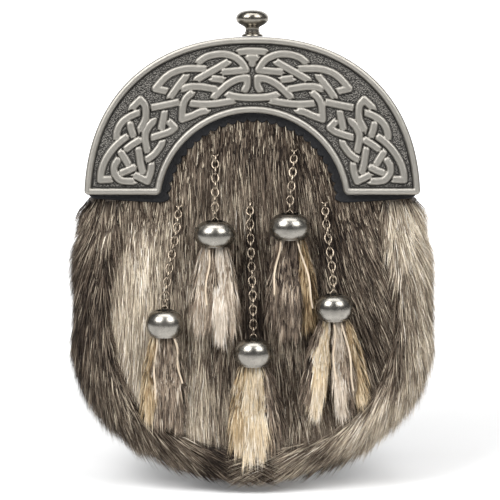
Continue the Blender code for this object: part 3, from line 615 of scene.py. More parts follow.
def cantle_relief(x, z, from_arch, from_edge, from_base):
    """The height above the field, how bright the metal is and where the field is bare, at each point."""
    angle = np.arctan2(np.abs(x), z)
    chart_outer = CHART_HALF_WIDTH / HALF_WIDTH * squared_radius(angle)
    share = (np.hypot(x, z) - ARCH_RADIUS) / (squared_radius(angle) - ARCH_RADIUS)
    radius = CHART_ARCH_RADIUS + (chart_outer - CHART_ARCH_RADIUS) * share
    reach = strand_reach(radius * np.sin(angle), radius * np.cos(angle))
    strand = np.clip(1 - reach**3.4, 0, 1) ** 0.7
    cut = np.exp(-((reach - CUT_AT) / CUT_SPREAD) ** 2)
    edge = np.minimum(np.minimum(from_arch, from_edge), from_base)
    inside = edge > RIM_WIDTH
    rim = bead(np.clip(edge, 0.15 * MM, None), RIM_WIDTH)
    groove = np.exp(-((edge - RIM_WIDTH - 0.35 * GROOVE) / (0.42 * GROOVE)) ** 2)
    strand = np.where(inside, strand, 0)
    height = strand * STRAND_HEIGHT - CUT_DEPTH * np.maximum(cut, groove) * (strand < FLAT)
    height = np.where(inside, height, rim * RIM_HEIGHT)
    bright = np.where(inside, 0.50 + 0.30 * strand**0.7, 0.52 + 0.34 * rim)
    bright = bright * (1 - CUT_DARK * np.maximum(cut, groove) * inside)
    bare_field = inside * (strand < 0.02) * (1 - np.maximum(cut, groove))
    return height, np.clip(bright, 0, 1), bare_field


# %% Cast the cantle
PIT_SCALE = 900
PIT_DEPTH = 0.05 * MM


def make_cantle():
    x, z, *edges = arched_band(COLUMNS, ACROSS, ARCH_RADIUS, HALF_WIDTH, BASE, (CORNER, CORNER))
    height, bright, bare_field = cantle_relief(x, z, *edges)
    pits = [noise.noise((a * PIT_SCALE, b * PIT_SCALE, 0)) for a, b in zip(x.ravel(), z.ravel())]
    height = height + np.array(pits).reshape(x.shape) * PIT_DEPTH
    rings = [np.stack([x, -(FIELD + height), z + ARCH_Z], -1)]
    outer_x, outer_z = x[:, -1], z[:, -1]
    thinner = 1 - WALL / np.hypot(outer_x, outer_z)
    back = FIELD - PLATE
    half_way = 0.35 * (FIELD + WALL_BACK) + 0.3 * FIELD
    for scale, depth in ((1.0, half_way), (1.0, WALL_BACK), (thinner, WALL_BACK), (thinner, back)):
        ring = np.stack([outer_x * scale, np.full(outer_x.shape, -depth), outer_z * scale + ARCH_Z], -1)
        rings.append(ring[:, None, :])
    inner = np.stack([x[:, 0], np.full(x.shape[0], -back), z[:, 0] + ARCH_Z], -1)
    rings.append(inner[:, None, :])
    grid = np.concatenate(rings, 1)
    around = grid.shape[1]
    last = (COLUMNS - 1) * around
    faces = strip_faces(COLUMNS, around, around=True) + end_caps(around, last)
    made = outward(piece_from("cantle_casting", grid.reshape(-1, 3), faces, PEWTER), merge=False)
    made.data.set_sharp_from_angle(angle=math.radians(60))
    for name, front_values, behind in (("relief", bright, 0.5), ("field", bare_field, 0.0)):
        level = made.data.attributes.new(name, "FLOAT", "POINT")
        values = np.full(grid.shape[:2], behind)
        values[:, :ROWS] = front_values
        level.data.foreach_set("value", values.ravel())
    return hand_over(made, "pewter", "cantle")


make_cantle()

# %% [markdown]
# ## Knob and caps
# These were turned or spun, so a profile goes round an axis. The caps hang low on the fur: each is a thin
# dome with a narrow mouth, and the hole in its top lets the chain in.

# %% Turn the knob
KNOB_FOOT = [(0.0, 0.0), (0.64, 0.0), (0.655, 0.015), (0.65, 0.05), (0.60, 0.085), (0.50, 0.115)]
KNOB_NECK = [(0.455, 0.135), (0.47, 0.15), (0.47, 0.17), (0.43, 0.19), (0.42, 0.25), (0.43, 0.31),
             (0.46, 0.36), (0.56, 0.395)]
KNOB_HEAD = [(0.70, 0.44), (0.84, 0.49), (0.935, 0.55), (0.985, 0.615), (1.0, 0.68), (0.985, 0.75),
             (0.93, 0.82), (0.85, 0.87), (0.73, 0.92), (0.56, 0.96), (0.34, 0.988), (0.0, 1.0)]


def make_knob():
    """The knob, from a profile in shares of its solid's radius and height."""
    low, high = (Vector(corner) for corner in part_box("top_knob"))
    wide = (high.x - low.x) / 2
    tall = high.z - low.z
    profile = [(wide * r, tall * h) for r, h in KNOB_FOOT + KNOB_NECK + KNOB_HEAD]
    centre = Vector(((low.x + high.x) / 2, (low.y + high.y) / 2, low.z))
    knob = lathe("knob", profile, centre, KNOB_NICKEL, sides=64)
    knob.data.set_sharp_from_angle(angle=math.radians(42))
    return hand_over(knob, "polished_metal", "top_knob")


make_knob()

# %% Spin the caps
CAP_WALL = 0.9 * MM
CAP_RAISE = 1.0 * MM
CAP_FLATTER = 0.96
CAP_HOLE = 17.0
CAP_MOUTH = 138
CAP_FULLNESS = 0.68
CAP_SPAN = 1.80
CAP_STEPS = 22
CAP_NOD = math.radians(7)
CAP_NUMBERS = "12345"


def cap_profile(wide, tall):
    """A closed profile of a thin dome from its hole to its mouth, both given in degrees from the top."""
    mouth = math.cos(math.radians(CAP_MOUTH))
    outside = []
    for k in range(CAP_STEPS + 1):
        turn = math.radians(CAP_HOLE + (CAP_MOUTH - CAP_HOLE) * k / CAP_STEPS)
        outside.append((wide * math.sin(turn) ** CAP_FULLNESS, tall * (math.cos(turn) - mouth) / CAP_SPAN))
    lip = outside[-1]
    outside += [(lip[0] - 0.15 * MM, lip[1] - 0.25 * MM), (lip[0] - CAP_WALL, lip[1])]
    inside = [(max(radius - CAP_WALL, CAP_WALL), height - CAP_WALL * (1 - 0.6 * radius / wide))
              for radius, height in outside[CAP_STEPS:0:-3]]
    return outside + inside + [outside[0]]


def make_cap(number):
    low, high = (Vector(corner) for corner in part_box("bell_" + number))
    tall = (high.z - low.z) * CAP_FLATTER
    centre = Vector(((low.x + high.x) / 2, (low.y + high.y) / 2, high.z - tall + CAP_RAISE))
    cap = lathe("cap_" + number, cap_profile((high.x - low.x) / 2, tall), centre, NICKEL, nod=CAP_NOD)
    cap.data.set_sharp_from_angle(angle=math.radians(50))
    return hand_over(cap, "polished_metal", "bell_" + number)


for number in CAP_NUMBERS:
    make_cap(number)

# %% [markdown]
# ## Chains
# A chain is one link again and again along a path, each turned a quarter from the last. That is what
# Geometry Nodes do best: the curve becomes evenly spaced points with rotations, and an instance of the link
# goes on each. The path is the middle of the chain's tube in the frame, and its upper end dips into the fur.

# %% The middle of a tube
def tube_middle(node, count):
    """Points down the middle of a near upright tube, found where level planes cut the solid's edges."""
    mesh = bpy.data.objects[node].data
    places = np.array([tuple(v.co) for v in mesh.vertices])
    edges = np.array([tuple(e.vertices) for e in mesh.edges])
    one, two = places[edges[:, 0]], places[edges[:, 1]]
    top, bottom = places[:, 2].max(), places[:, 2].min()
    inset = 0.02 * (top - bottom)
    path = []
    for height in np.linspace(top - inset, bottom + inset, count):
        crosses = (one[:, 2] - height) * (two[:, 2] - height) < 0
        a, b = one[crosses], two[crosses]
        cut = a + (b - a) * ((height - a[:, 2]) / (b[:, 2] - a[:, 2]))[:, None]
        path.append(Vector((cut.min(0) + cut.max(0)) / 2))
    return path


# %% A link
LINK_WIDTH = 4.4 * MM
LINK_LENGTH = 5.9 * MM
LINK_WIRE = 0.98 * MM
LINK_PITCH = 3.52 * MM
LINK_STEPS = 16
WIRE_SIDES = 8


def link_mesh():
    """One oval link of round wire, standing along Z in the XZ plane."""
    wide, tall = (LINK_WIDTH - LINK_WIRE) / 2, (LINK_LENGTH - LINK_WIRE) / 2
    points, faces = [], []
    for k in range(LINK_STEPS):
        turn = 2 * math.pi * k / LINK_STEPS
        middle = Vector((wide * math.cos(turn), 0, tall * math.sin(turn)))
        away = middle.normalized()
        for j in range(WIRE_SIDES):
            roll = 2 * math.pi * j / WIRE_SIDES
            points.append(middle + away * (LINK_WIRE / 2 * math.cos(roll))
                          + Vector((0, LINK_WIRE / 2 * math.sin(roll), 0)))
            a, b = k * WIRE_SIDES + j, k * WIRE_SIDES + (j + 1) % WIRE_SIDES
            after = WIRE_SIDES * (1 if k < LINK_STEPS - 1 else 1 - LINK_STEPS)
            faces.append((a, b, b + after, a + after))
    link = outward(piece_from("link", points, faces, GUNMETAL))
    scene.collection.objects.unlink(link)
    return link


LINK = link_mesh()
print("link faces:", len(LINK.data.polygons))

# %% Trees that build meshes
def input_socket(group, name, kind, default=None):
    """Adds a named input to a Geometry Nodes tree."""
    socket = group.interface.new_socket(name=name, in_out="INPUT", socket_type=kind)
    if default is not None:
        socket.default_value = default
    return socket


def new_geometry_tree(name):
    group = bpy.data.node_groups.new(name, "GeometryNodeTree")
    group.interface.new_socket(name="Geometry", in_out="OUTPUT", socket_type="NodeSocketGeometry")
    input_socket(group, "Geometry", "NodeSocketGeometry")
    return group


def turned(tree, rotation, angle):
    """A rotation turned about its own Z axis."""
    turn = tree.add("FunctionNodeAxisAngleToRotation", None, {"Axis": (0.0, 0.0, 1.0), "Angle": angle})
    return tree.add("FunctionNodeRotateRotation", {"rotation_space": "LOCAL"},
                    {"Rotation": rotation, "Rotate By": turn})


def close_tree(tree, geometry, material):
    """The end that every tree here has: real geometry, smooth, with its material."""
    solid = tree.add("GeometryNodeRealizeInstances", None, {"Geometry": geometry})
    smooth = tree.add("GeometryNodeSetShadeSmooth", None, {"Geometry": solid})
    painted = tree.add("GeometryNodeSetMaterial", None, {"Geometry": smooth, "Material": material})
    tree.add("NodeGroupOutput", None, {"Geometry": painted})


# %% Run a tree
def run_tree(name, group, base, **values):
    """Runs a tree on an object with the inputs named, and returns the result as a plain new piece."""
    modifier = base.modifiers.new(group.name, "NODES")
    modifier.node_group = group
    wanted = {key.replace("_", " "): value for key, value in values.items()}
    for item in group.interface.items_tree:
        if item.in_out == "INPUT" and item.name in wanted:
            modifier[item.identifier] = wanted[item.name]
    result = base.evaluated_get(bpy.context.evaluated_depsgraph_get())
    mesh = bpy.data.meshes.new_from_object(result)
    base.modifiers.remove(modifier)
    mesh.name = name
    made = bpy.data.objects.new(name, mesh)
    scene.collection.objects.link(made)
    return made


def run_on_path(name, group, lines, **values):
    """Runs a tree on a curve with a spline through each list of places. A closed one says so."""
    curve = bpy.data.curves.new("path", "CURVE")
    curve.dimensions = "3D"
    for places, closed in lines:
        spline = curve.splines.new("POLY")
        spline.points.add(len(places) - 1)
        spline.use_cyclic_u = closed
        for point, place in zip(spline.points, places):
            point.co = (*place, 1.0)
    base = bpy.data.objects.new("path", curve)
    scene.collection.objects.link(base)
    made = run_tree(name, group, base, **values)
    bpy.data.objects.remove(base)
    return made


# %% Links along a path
def chain_tree():
    group = new_geometry_tree("links on a path")
    input_socket(group, "Pitch", "NodeSocketFloat", LINK_PITCH)
    input_socket(group, "Wobble", "NodeSocketFloat", 0.16)
    input_socket(group, "Link", "NodeSocketObject")
    input_socket(group, "Material", "NodeSocketMaterial")
    tree = Tree(group)
    given = tree.add("NodeGroupInput", output="Geometry")
    points = tree.add("GeometryNodeCurveToPoints", {"mode": "LENGTH"},
                      {"Curve": given, "Length": given.out("Pitch")})
    number = tree.add("GeometryNodeInputIndex")
    quarter = number.math("MODULO", number, 2.0) * (math.pi / 2)
    wobble = tree.add("FunctionNodeRandomValue", {"data_type": "FLOAT"},
                      {"Min": -1.0, "Max": 1.0, "Seed": 4}) * given.out("Wobble")
    rotation = turned(tree, points.out("Rotation"), quarter + wobble)
    link = tree.add("GeometryNodeObjectInfo", None, {"Object": given.out("Link")}, output="Geometry")
    placed = tree.add("GeometryNodeInstanceOnPoints", None,
                      {"Points": points, "Instance": link, "Rotation": rotation})
    close_tree(tree, placed, given.out("Material"))
    return group


# %% Hang the chains
CHAIN_SINK = 5.5 * MM
CHAIN_SINK_RUN = 9.0 * MM
INTO_CAP = 1.2 * MM
CHAIN_PATHS = []


def make_chain(number, group):
    """Links down the middle of a chain's tube. The top dips into the fur, and the end goes into the cap."""
    path = tube_middle("chain_" + number, 24)
    CHAIN_PATHS.append([point.copy() for point in path])
    for point in path:
        dip = max(0.0, 1 - (path[0].z - point.z) / CHAIN_SINK_RUN)
        point.y += CHAIN_SINK * dip**1.5
    path.append(path[-1] + Vector((0, 0, -INTO_CAP)))
    made = run_on_path("chain_links_" + number, group, [(path, False)], Link=LINK, Material=GUNMETAL)
    return hand_over(made, "chain_metal", "chain_" + number)


links_on_path = chain_tree()
for number in CAP_NUMBERS:
    make_chain(number, links_on_path)

# %% [markdown]
# ## The hair tree
# Hairs need a root on the skin, a direction to be combed in, and neighbours to cling to. The tree scatters
# roots, finds the nearest of a much sparser set of points for each, and lets its tip lean towards that
# point's tip, which draws the hairs into locks. The skin's own attributes say where hair grows, which way
# it is combed, how long it is, how far it lifts, and its tone.

# %% One hair
def blade_mesh():
    """A hair of length 1 along Z and width 1 along X: a tapered blade that bows out along Y."""
    points = []
    for along, width, bow in ((0.0, 1.0, 0.0), (0.48, 0.85, 0.085)):
        points += [Vector((-width / 2, bow, along)), Vector((width / 2, bow, along))]
    points.append(Vector((0, 0, 1.0)))
    blade = piece_from("hair", points, [(0, 1, 3, 2), (2, 3, 4)], FUR)
    level = blade.data.attributes.new("along", "FLOAT", "POINT")
    level.data.foreach_set("value", [p.z for p in points])
    level = blade.data.attributes.new("across", "FLOAT", "POINT")
    level.data.foreach_set("value", [0.5 if abs(p.x) < 0.01 else (0.0 if p.x < 0 else 1.0) for p in points])
    scene.collection.objects.unlink(blade)
    return blade


HAIR = blade_mesh()
print("hair faces:", len(HAIR.data.polygons))

# %% Vectors and chance in a tree
def named(tree, name, kind="FLOAT"):
    """An attribute of the mesh, by its name."""
    return tree.add("GeometryNodeInputNamedAttribute", {"data_type": kind}, {"Name": name})


def vector_math(tree, operation, one, two):
    return tree.add("ShaderNodeVectorMath", {"operation": operation}, {0: one, 1: two})


def scaled(tree, vector, factor):
    return tree.add("ShaderNodeVectorMath", {"operation": "SCALE"}, {"Vector": vector, "Scale": factor})


def random_between(tree, low, high, seed, **of):
    """A random number for each hair, or for each lock if its ID is given."""
    return tree.add("FunctionNodeRandomValue", {"data_type": "FLOAT"},
                    {"Min": low, "Max": high, "Seed": seed, **of})


def random_way(tree, reach, seed, **of):
    """A random vector that goes up to its reach both ways."""
    return tree.add("FunctionNodeRandomValue", {"data_type": "FLOAT_VECTOR"},
                    {0: tuple(-r for r in reach), 1: reach, "Seed": seed, **of})


# %% Roots and locks
def scatter(tree, given):
    """The points that locks gather round, which keep the skin's normal, and the roots of the hairs."""
    seed = given.out("Seed")
    locks = tree.add("GeometryNodeDistributePointsOnFaces", None,
                     {"Mesh": given, "Density": given.out("Lock Density"), "Seed": seed})
    locks = tree.add("GeometryNodeStoreNamedAttribute", {"data_type": "FLOAT_VECTOR"},
                     {"Geometry": locks, "Name": "normal", "Value": locks.out("Normal")})
    roots = tree.add("GeometryNodeDistributePointsOnFaces", None,
                     {"Mesh": given, "Density": named(tree, "cover") * given.out("Density"), "Seed": seed})
    return locks, roots


# %% From root to tip
LOCK_WANDER = (0.17, 0.05, 0.10)
HAIR_STRAY = (0.11, 0.05, 0.11)


def hair_tip(tree, place, comb, normal, length, lift):
    """Where a hair's tip goes: along the comb by its length, and off the skin by its lift."""
    flat = vector_math(tree, "ADD", place, scaled(tree, comb, length))
    return vector_math(tree, "ADD", flat, scaled(tree, normal, lift))


def hair_run(tree, given, normal, locks, nearest):
    """The way from a hair's root to its tip, which lies between its own tip and its lock's."""
    def from_lock(value):
        return tree.add("GeometryNodeSampleIndex", {"data_type": "FLOAT_VECTOR"},
                        {"Geometry": locks, "Value": value, "Index": nearest})

    place = tree.add("GeometryNodeInputPosition")
    comb = named(tree, "comb", "FLOAT_VECTOR")
    length = named(tree, "reach") * given.out("Length")
    lift = named(tree, "rise") * given.out("Lift")
    own_comb = vector_math(tree, "ADD", comb, random_way(tree, HAIR_STRAY, 9))
    own_tip = hair_tip(tree, place, own_comb, normal, length * random_between(tree, 0.62, 1.12, 11),
                       lift * random_between(tree, 0.25, 1.35, 12))
    lock_comb = vector_math(tree, "ADD", from_lock(comb), random_way(tree, LOCK_WANDER, 8, ID=nearest))
    lock_normal = from_lock(named(tree, "normal", "FLOAT_VECTOR"))
    lock_size = random_between(tree, 0.0, 1.0, 17, ID=nearest)
    lock_tip = hair_tip(tree, from_lock(place), lock_comb, lock_normal, length * (0.8 + lock_size * 0.4),
                        lift * (0.5 + lock_size * 0.9))
    cling = random_between(tree, 0.35, 1.0, 13) * given.out("Cling")
    tip = tree.add("ShaderNodeMix", {"data_type": "VECTOR"}, {"Factor": cling, "A": own_tip, "B": lock_tip})
    return vector_math(tree, "SUBTRACT", tip, place)


# %% How a blade lies, and its tone
DARK_SPREAD = 1.34
PALE_LOSS = 0.86
HAIR_ROLL = 0.6


def hair_turn(tree, run, normal):
    """A blade stands along its run with its bow away from the skin, and rolls a little to either side."""
    upright = tree.add("FunctionNodeAlignRotationToVector", {"axis": "Z"}, {"Vector": run})
    facing = tree.add("FunctionNodeAlignRotationToVector", {"axis": "Y", "pivot_axis": "Z"},
                      {"Rotation": upright, "Vector": normal})
    return turned(tree, facing, random_between(tree, -HAIR_ROLL, HAIR_ROLL, 14))


def hair_size(tree, given, run):
    """A blade's scale: its width across, and the length of its run for its bow and its height."""
    size = tree.add("ShaderNodeVectorMath", {"operation": "LENGTH"}, {"Vector": run}, output="Value")
    thick = given.out("Width") * random_between(tree, 0.7, 1.3, 15)
    return tree.add("ShaderNodeCombineXYZ", None, {"X": thick, "Y": size, "Z": size})


def hair_tone(tree, given, nearest):
    """The skin's tone, changed by each hair and by each lock, and more where the fur is dark."""
    own_tone = named(tree, "tone")
    unlike = random_between(tree, -1.0, 1.0, 16) * given.out("Tone Spread")
    unlike = unlike + (random_between(tree, 0.0, 1.0, 7, ID=nearest) - 0.5) * 2.0 * given.out("Lock Tones")
    return own_tone + unlike * (DARK_SPREAD - own_tone * PALE_LOSS)


def strand_map(tree, hairs):
    """Stores the UV map: the tone across, kept off the ramp's ends, and the way from root to tip along."""
    held = tree.add("ShaderNodeClamp", None, {"Value": named(tree, "hair_tone"), "Min": 0.012, "Max": 0.975})
    strand = tree.add("ShaderNodeCombineXYZ", None,
                      {"X": held + (named(tree, "across") - 0.5) * 0.012, "Y": named(tree, "along")})
    return tree.add("GeometryNodeStoreNamedAttribute", {"data_type": "FLOAT2", "domain": "CORNER"},
                    {"Geometry": hairs, "Name": "OFBake", "Value": strand})


# %% The coat's tree
COAT_INPUTS = {"Density": 3.0e6, "Lock Density": 1.0e6, "Length": 20 * MM, "Width": 0.4 * MM,
               "Lift": 5 * MM, "Cling": 0.6, "Tone Spread": 0.2, "Lock Tones": 0.2}


def fur_tree():
    group = new_geometry_tree("a coat of hairs")
    for name, default in COAT_INPUTS.items():
        input_socket(group, name, "NodeSocketFloat", default)
    input_socket(group, "Seed", "NodeSocketInt", 1)
    input_socket(group, "Hair", "NodeSocketObject")
    input_socket(group, "Material", "NodeSocketMaterial")
    tree = Tree(group)
    given = tree.add("NodeGroupInput", output="Geometry")
    locks, roots = scatter(tree, given)
    nearest = tree.add("GeometryNodeSampleNearest", None, {"Geometry": locks})
    normal = roots.out("Normal")
    run = hair_run(tree, given, normal, locks, nearest)
    toned = tree.add("GeometryNodeStoreNamedAttribute", {"data_type": "FLOAT"},
                     {"Geometry": roots, "Name": "hair_tone", "Value": hair_tone(tree, given, nearest)})
    hair = tree.add("GeometryNodeObjectInfo", None, {"Object": given.out("Hair")}, output="Geometry")
    placed = tree.add("GeometryNodeInstanceOnPoints", None,
                      {"Points": toned, "Instance": hair, "Rotation": hair_turn(tree, run, normal),
                       "Scale": hair_size(tree, given, run)})
    hairs = tree.add("GeometryNodeRealizeInstances", None, {"Geometry": placed})
    close_tree(tree, strand_map(tree, hairs), given.out("Material"))
    return group


COAT = fur_tree()
print("nodes in the coat's tree:", len(COAT.nodes))

# %% Dress a skin
COAT_COLUMNS = ("comb", "tone", "cover", "reach", "rise")
HAIR_COLUMNS = ("hair_tone", "along", "across", "normal")


def set_coat(skin, **columns):
    """Writes the attributes that the hair tree reads. Comb is a direction, and the rest are numbers."""
    for name, values in columns.items():
        kind = "FLOAT_VECTOR" if name == "comb" else "FLOAT"
        level = skin.data.attributes.new(name, kind, "POINT")
        values = np.asarray(values, dtype=float)
        level.data.foreach_set("vector" if name == "comb" else "value", values.ravel())


def drop_columns(mesh, names):
    """Removes the attributes that only the tree needed."""
    for name in names:
        if name in mesh.attributes:
            mesh.attributes.remove(mesh.attributes[name])


def grow(name, skin, slot="grey_fur", nodes=(), finish=FUR, **values):
    """A coat of hairs on a skin, as a piece of its own."""
    made = run_tree(name, COAT, skin, Hair=HAIR, Material=finish, **values)
    drop_columns(made.data, COAT_COLUMNS + HAIR_COLUMNS)
    return hand_over(made, slot, *nodes)


# %% [markdown]
# ## Tones of the pelt
# A pelt is never one colour. A short table names its patches, each an upright oval with soft edges, and a
# point's tone is the ground tone moved towards the patches that it lies in.

# %% Patches
# Places and sizes are in millimetres. A tone is a place on the fur's ramp.
GROUND_TONE = 0.37
PATCHES = [
    dict(name="left cream column", x=-58, z=-66, wide=14, tall=46, tone=0.78),
    # painted shadow: this patch darkens the top of the cream column where the apron shades it
    dict(name="column top shade", x=-62, z=-17, wide=14, tall=7, tone=0.40),
    dict(name="left lower cream", x=-42, z=-108, wide=24, tall=20, tone=0.74),
    dict(name="inner left", x=-40, z=-34, wide=9, tall=22, tone=0.62),
    dict(name="inner left low", x=-31, z=-66, wide=9, tall=24, tone=0.60),
    dict(name="window left brown", x=-30, z=4, wide=13, tall=26, tone=0.38),
    dict(name="window left lock", x=-16, z=-9, wide=5, tall=12, tone=0.54),
    dict(name="window middle lock", x=-5, z=-9, wide=5, tall=14, tone=0.54),
    dict(name="window top", x=6, z=16, wide=22, tall=12, tone=0.24),
    dict(name="window right", x=26, z=0, wide=14, tall=22, tone=0.27),
    dict(name="middle", x=-1, z=-56, wide=11, tall=32, tone=0.22),
    dict(name="between tassels", x=28, z=-92, wide=10, tall=14, tone=0.18),
    dict(name="right top light", x=72, z=-26, wide=9, tall=13, tone=0.66),
    dict(name="right dark", x=50, z=-48, wide=20, tall=50, tone=0.25),
    dict(name="right edge", x=62, z=-98, wide=10, tall=26, tone=0.24),
    dict(name="lower dark", x=26, z=-126, wide=20, tall=14, tone=0.47),
    dict(name="lower middle", x=-14, z=-118, wide=7, tall=16, tone=0.48),
    dict(name="lower cream", x=-27, z=-121, wide=9, tall=12, tone=0.72),
]
BORDER_PATCHES = [
    dict(name="left dark", x=-82, z=-60, wide=16, tall=48, tone=0.16),
    dict(name="left top", x=-76, z=-22, wide=14, tall=12, tone=0.42),
    dict(name="left side low", x=-78, z=-112, wide=12, tall=13, tone=0.36),
    dict(name="left low", x=-50, z=-130, wide=24, tall=20, tone=0.27),
    dict(name="middle low left", x=-20, z=-148, wide=20, tall=14, tone=-0.12),
    dict(name="middle low right", x=16, z=-148, wide=18, tall=14, tone=0.54),
    dict(name="right light", x=84, z=-64, wide=15, tall=66, tone=0.70),
    dict(name="right inner dark", x=71, z=-90, wide=7, tall=18, tone=0.22),
    dict(name="right gold", x=78, z=-28, wide=18, tall=16, tone=0.76),
    dict(name="right low", x=66, z=-118, wide=22, tall=20, tone=0.76),
]


# %% Tone at a place
PATCH_PULL = 4.0
PATCH_EDGE = 1.4


def tone_at(x, z, patches, ground):
    """The tone at a place on the pelt, from the patches and from noise that is drawn out downwards."""
    total, weight = ground, 1.0
    for patch in patches:
        far = ((x / MM - patch["x"]) / patch["wide"]) ** 2 + ((z / MM - patch["z"]) / patch["tall"]) ** 2
        pull = PATCH_PULL * math.exp(-PATCH_EDGE * far * far)
        total += patch["tone"] * pull
        weight += pull
    streak = noise.noise((x * 260, z * 34, 3.1)) * 0.09 + noise.noise((x * 700, z * 60, 8.4)) * 0.05
    return total / weight + streak


print("tone at the middle of the front:", round(tone_at(0, ARCH_Z, PATCHES, GROUND_TONE), 2))


# %% [markdown]
# ## The fur front
# The skin of the front panel follows the leather pouch under it, so rays find the pouch's front at each
# point of a grid. Hair grows wherever the cantle and its apron leave the skin bare, and just under their
# edges, where it has to lie flat. It falls straight on the left and leans to the right on the right.

# %% The pouch behind the fur
def smooth_step(low, high, value):
    """0 at low, 1 at high and eased between, whichever of the two is larger."""
    share = min(1.0, max(0.0, (value - low) / (high - low)))
    return share * share * (3 - 2 * share)


def solid_tree(node):
    """A search tree over a solid of the frame, for rays."""
    mesh = bpy.data.objects[node].data
    places = [v.co.copy() for v in mesh.vertices]
    return BVHTree.FromPolygons(places, [tuple(p.vertices) for p in mesh.polygons])


def front_of(tree, x, z, fallback=None):
    """The y of a solid's front at a place, or the fallback beside the solid."""
    hit = tree.ray_cast(Vector((x, -0.2, z)), Vector((0, 1, 0)))
    return hit[0].y if hit[0] else fallback


SHELL = solid_tree("pouch_shell")
shell_low, shell_high = (Vector(corner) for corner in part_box("pouch_shell"))
print(f"pouch depth {(shell_high.y - shell_low.y) / MM:.1f} mm")

# %% How far out a place lies
BODY_DROP = 47 * MM
BODY_Z = ARCH_Z - BODY_DROP
BODY_WIDE = HALF_WIDTH - 0.6 * MM
BODY_TALL = BODY_Z - shell_low.z
BODY_SQUARENESS = 2.35


def body_radial(x, z):
    """How far out a point lies from the body's middle, 1 at the pouch's edge, and the way straight out."""
    across, down = x / BODY_WIDE, (z - BODY_Z) / BODY_TALL
    if down > 0:
        down = 0.0
    share = (abs(across) ** BODY_SQUARENESS + abs(down) ** BODY_SQUARENESS) ** (1 / BODY_SQUARENESS)
    away = Vector((math.copysign(abs(across) ** (BODY_SQUARENESS - 1) / BODY_WIDE, across), 0,
                   math.copysign(abs(down) ** (BODY_SQUARENESS - 1) / BODY_TALL, down)))
    return share, away.normalized() if away.length > 0 else Vector((0, 0, -1))


# %% How the front is combed
APRON_LOW, APRON_HIGH = (Vector(corner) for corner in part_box("apron"))
APRON_RADIUS = ARCH_RADIUS - 4.3 * MM
APRON_FOOT = APRON_LOW.z
LEAN = 0.04
LEAN_RIGHT = 0.30
LEAN_LEFT = 0.05
LEAN_WANDER = 0.10


def comb_at(x, z):
    """The direction in which the front's hair is combed."""
    lean = LEAN + LEAN_RIGHT * smooth_step(5 * MM, 60 * MM, x) - LEAN_LEFT * smooth_step(0, 60 * MM, -x)
    lean += LEAN_WANDER * noise.noise((x * 45, z * 30, 1.7))
    return Vector((lean, 0, -1)).normalized()


def bare(x, z):
    """How far a point lies inside the area that cantle and apron leave open, in metres."""
    in_arch = APRON_RADIUS - math.hypot(x, max(0.0, z - ARCH_Z))
    return max(APRON_FOOT - z, in_arch) if z > APRON_FOOT - 20 * MM else APRON_FOOT - z


# %% Where the roll takes over
LONGEST_HAIR = 19 * MM
LIP_SHARE = 0.905
SHORTEST_SHARE = 0.24
ROLL_FROM = -98 * MM


def lip_room(place):
    """The share of its length that a hair may have, so that it ends where the roll begins."""
    room = (LIP_SHARE - body_radial(place.x, place.z)[0]) * BODY_TALL / LONGEST_HAIR
    low = smooth_step(ROLL_FROM, -120 * MM, place.z)
    return 1 - low * (1 - min(1.0, max(SHORTEST_SHARE, room)))


def under_roll(place):
    """1 where the roll covers the panel, so that no hair can grow."""
    share = body_radial(place.x, place.z)[0]
    return smooth_step(0.86, 0.885, share) * smooth_step(ROLL_FROM, -118 * MM, place.z)


# %% Behind the chains
LINK_REACH = 3.5 * MM
HOLLOW = 3.0 * MM
HOLLOW_REACH = 13.0 * MM


def chain_shade(place):
    """1 right behind a chain, where the hairs lie in its shadow, and 0 beside it."""
    beside = [abs(place.x - point.x) for path in CHAIN_PATHS for point in path
              if abs(point.z - place.z) < LINK_REACH]
    return 1 - smooth_step(1.0 * MM, 3.2 * MM, min(beside, default=1.0))


def hollow_at(place):
    """How deep a point lies in the hollow where a chain comes out, and how far its hairs are parted there."""
    deep, parted = 0.0, 0.0
    for path in CHAIN_PATHS:
        top = path[0]
        aside, above = abs(place.x - top.x), place.z - top.z
        deep = max(deep, 1 - smooth_step(0.6 * HOLLOW, HOLLOW, math.hypot(aside, above + 2.0 * MM)))
        if 0 < above < HOLLOW_REACH:
            parted = max(parted, 1 - smooth_step(0.8 * HOLLOW, 1.5 * HOLLOW, aside))
    return deep, parted


# %% The skin of the front
SKIN_STEP = 2.5 * MM
SKIN_ABOVE = 1.4 * MM
SKIN_UNDER_APRON = 11 * MM
HAIR_UNDER_APRON = 9 * MM
LIP_HIDDEN = 0.93
SHADE_BY_CHAIN = 0.26
FLAT_UNDER_APRON = 0.22


def skin_grid():
    """Places just off the pouch's front, in a square grid, and the faces between them."""
    low, high = shell_low, shell_high
    columns = int((high.x - low.x) / SKIN_STEP)
    rows = int((high.z - low.z) / SKIN_STEP)
    points, faces, index = [], [], {}
    for row in range(rows + 1):
        for column in range(columns + 1):
            x = low.x + (high.x - low.x) * column / columns
            z = high.z - (high.z - low.z) * row / rows
            hit = front_of(SHELL, x, z)
            if hit is None or bare(x, z) < -SKIN_UNDER_APRON or body_radial(x, z)[0] > LIP_HIDDEN:
                continue
            index[row, column] = len(points)
            points.append(Vector((x, hit - SKIN_ABOVE, z)))
    for row in range(rows):
        for column in range(columns):
            corners = [(row, column), (row + 1, column), (row + 1, column + 1), (row, column + 1)]
            if all(c in index for c in corners):
                faces.append([index[c] for c in corners])
    return points, faces


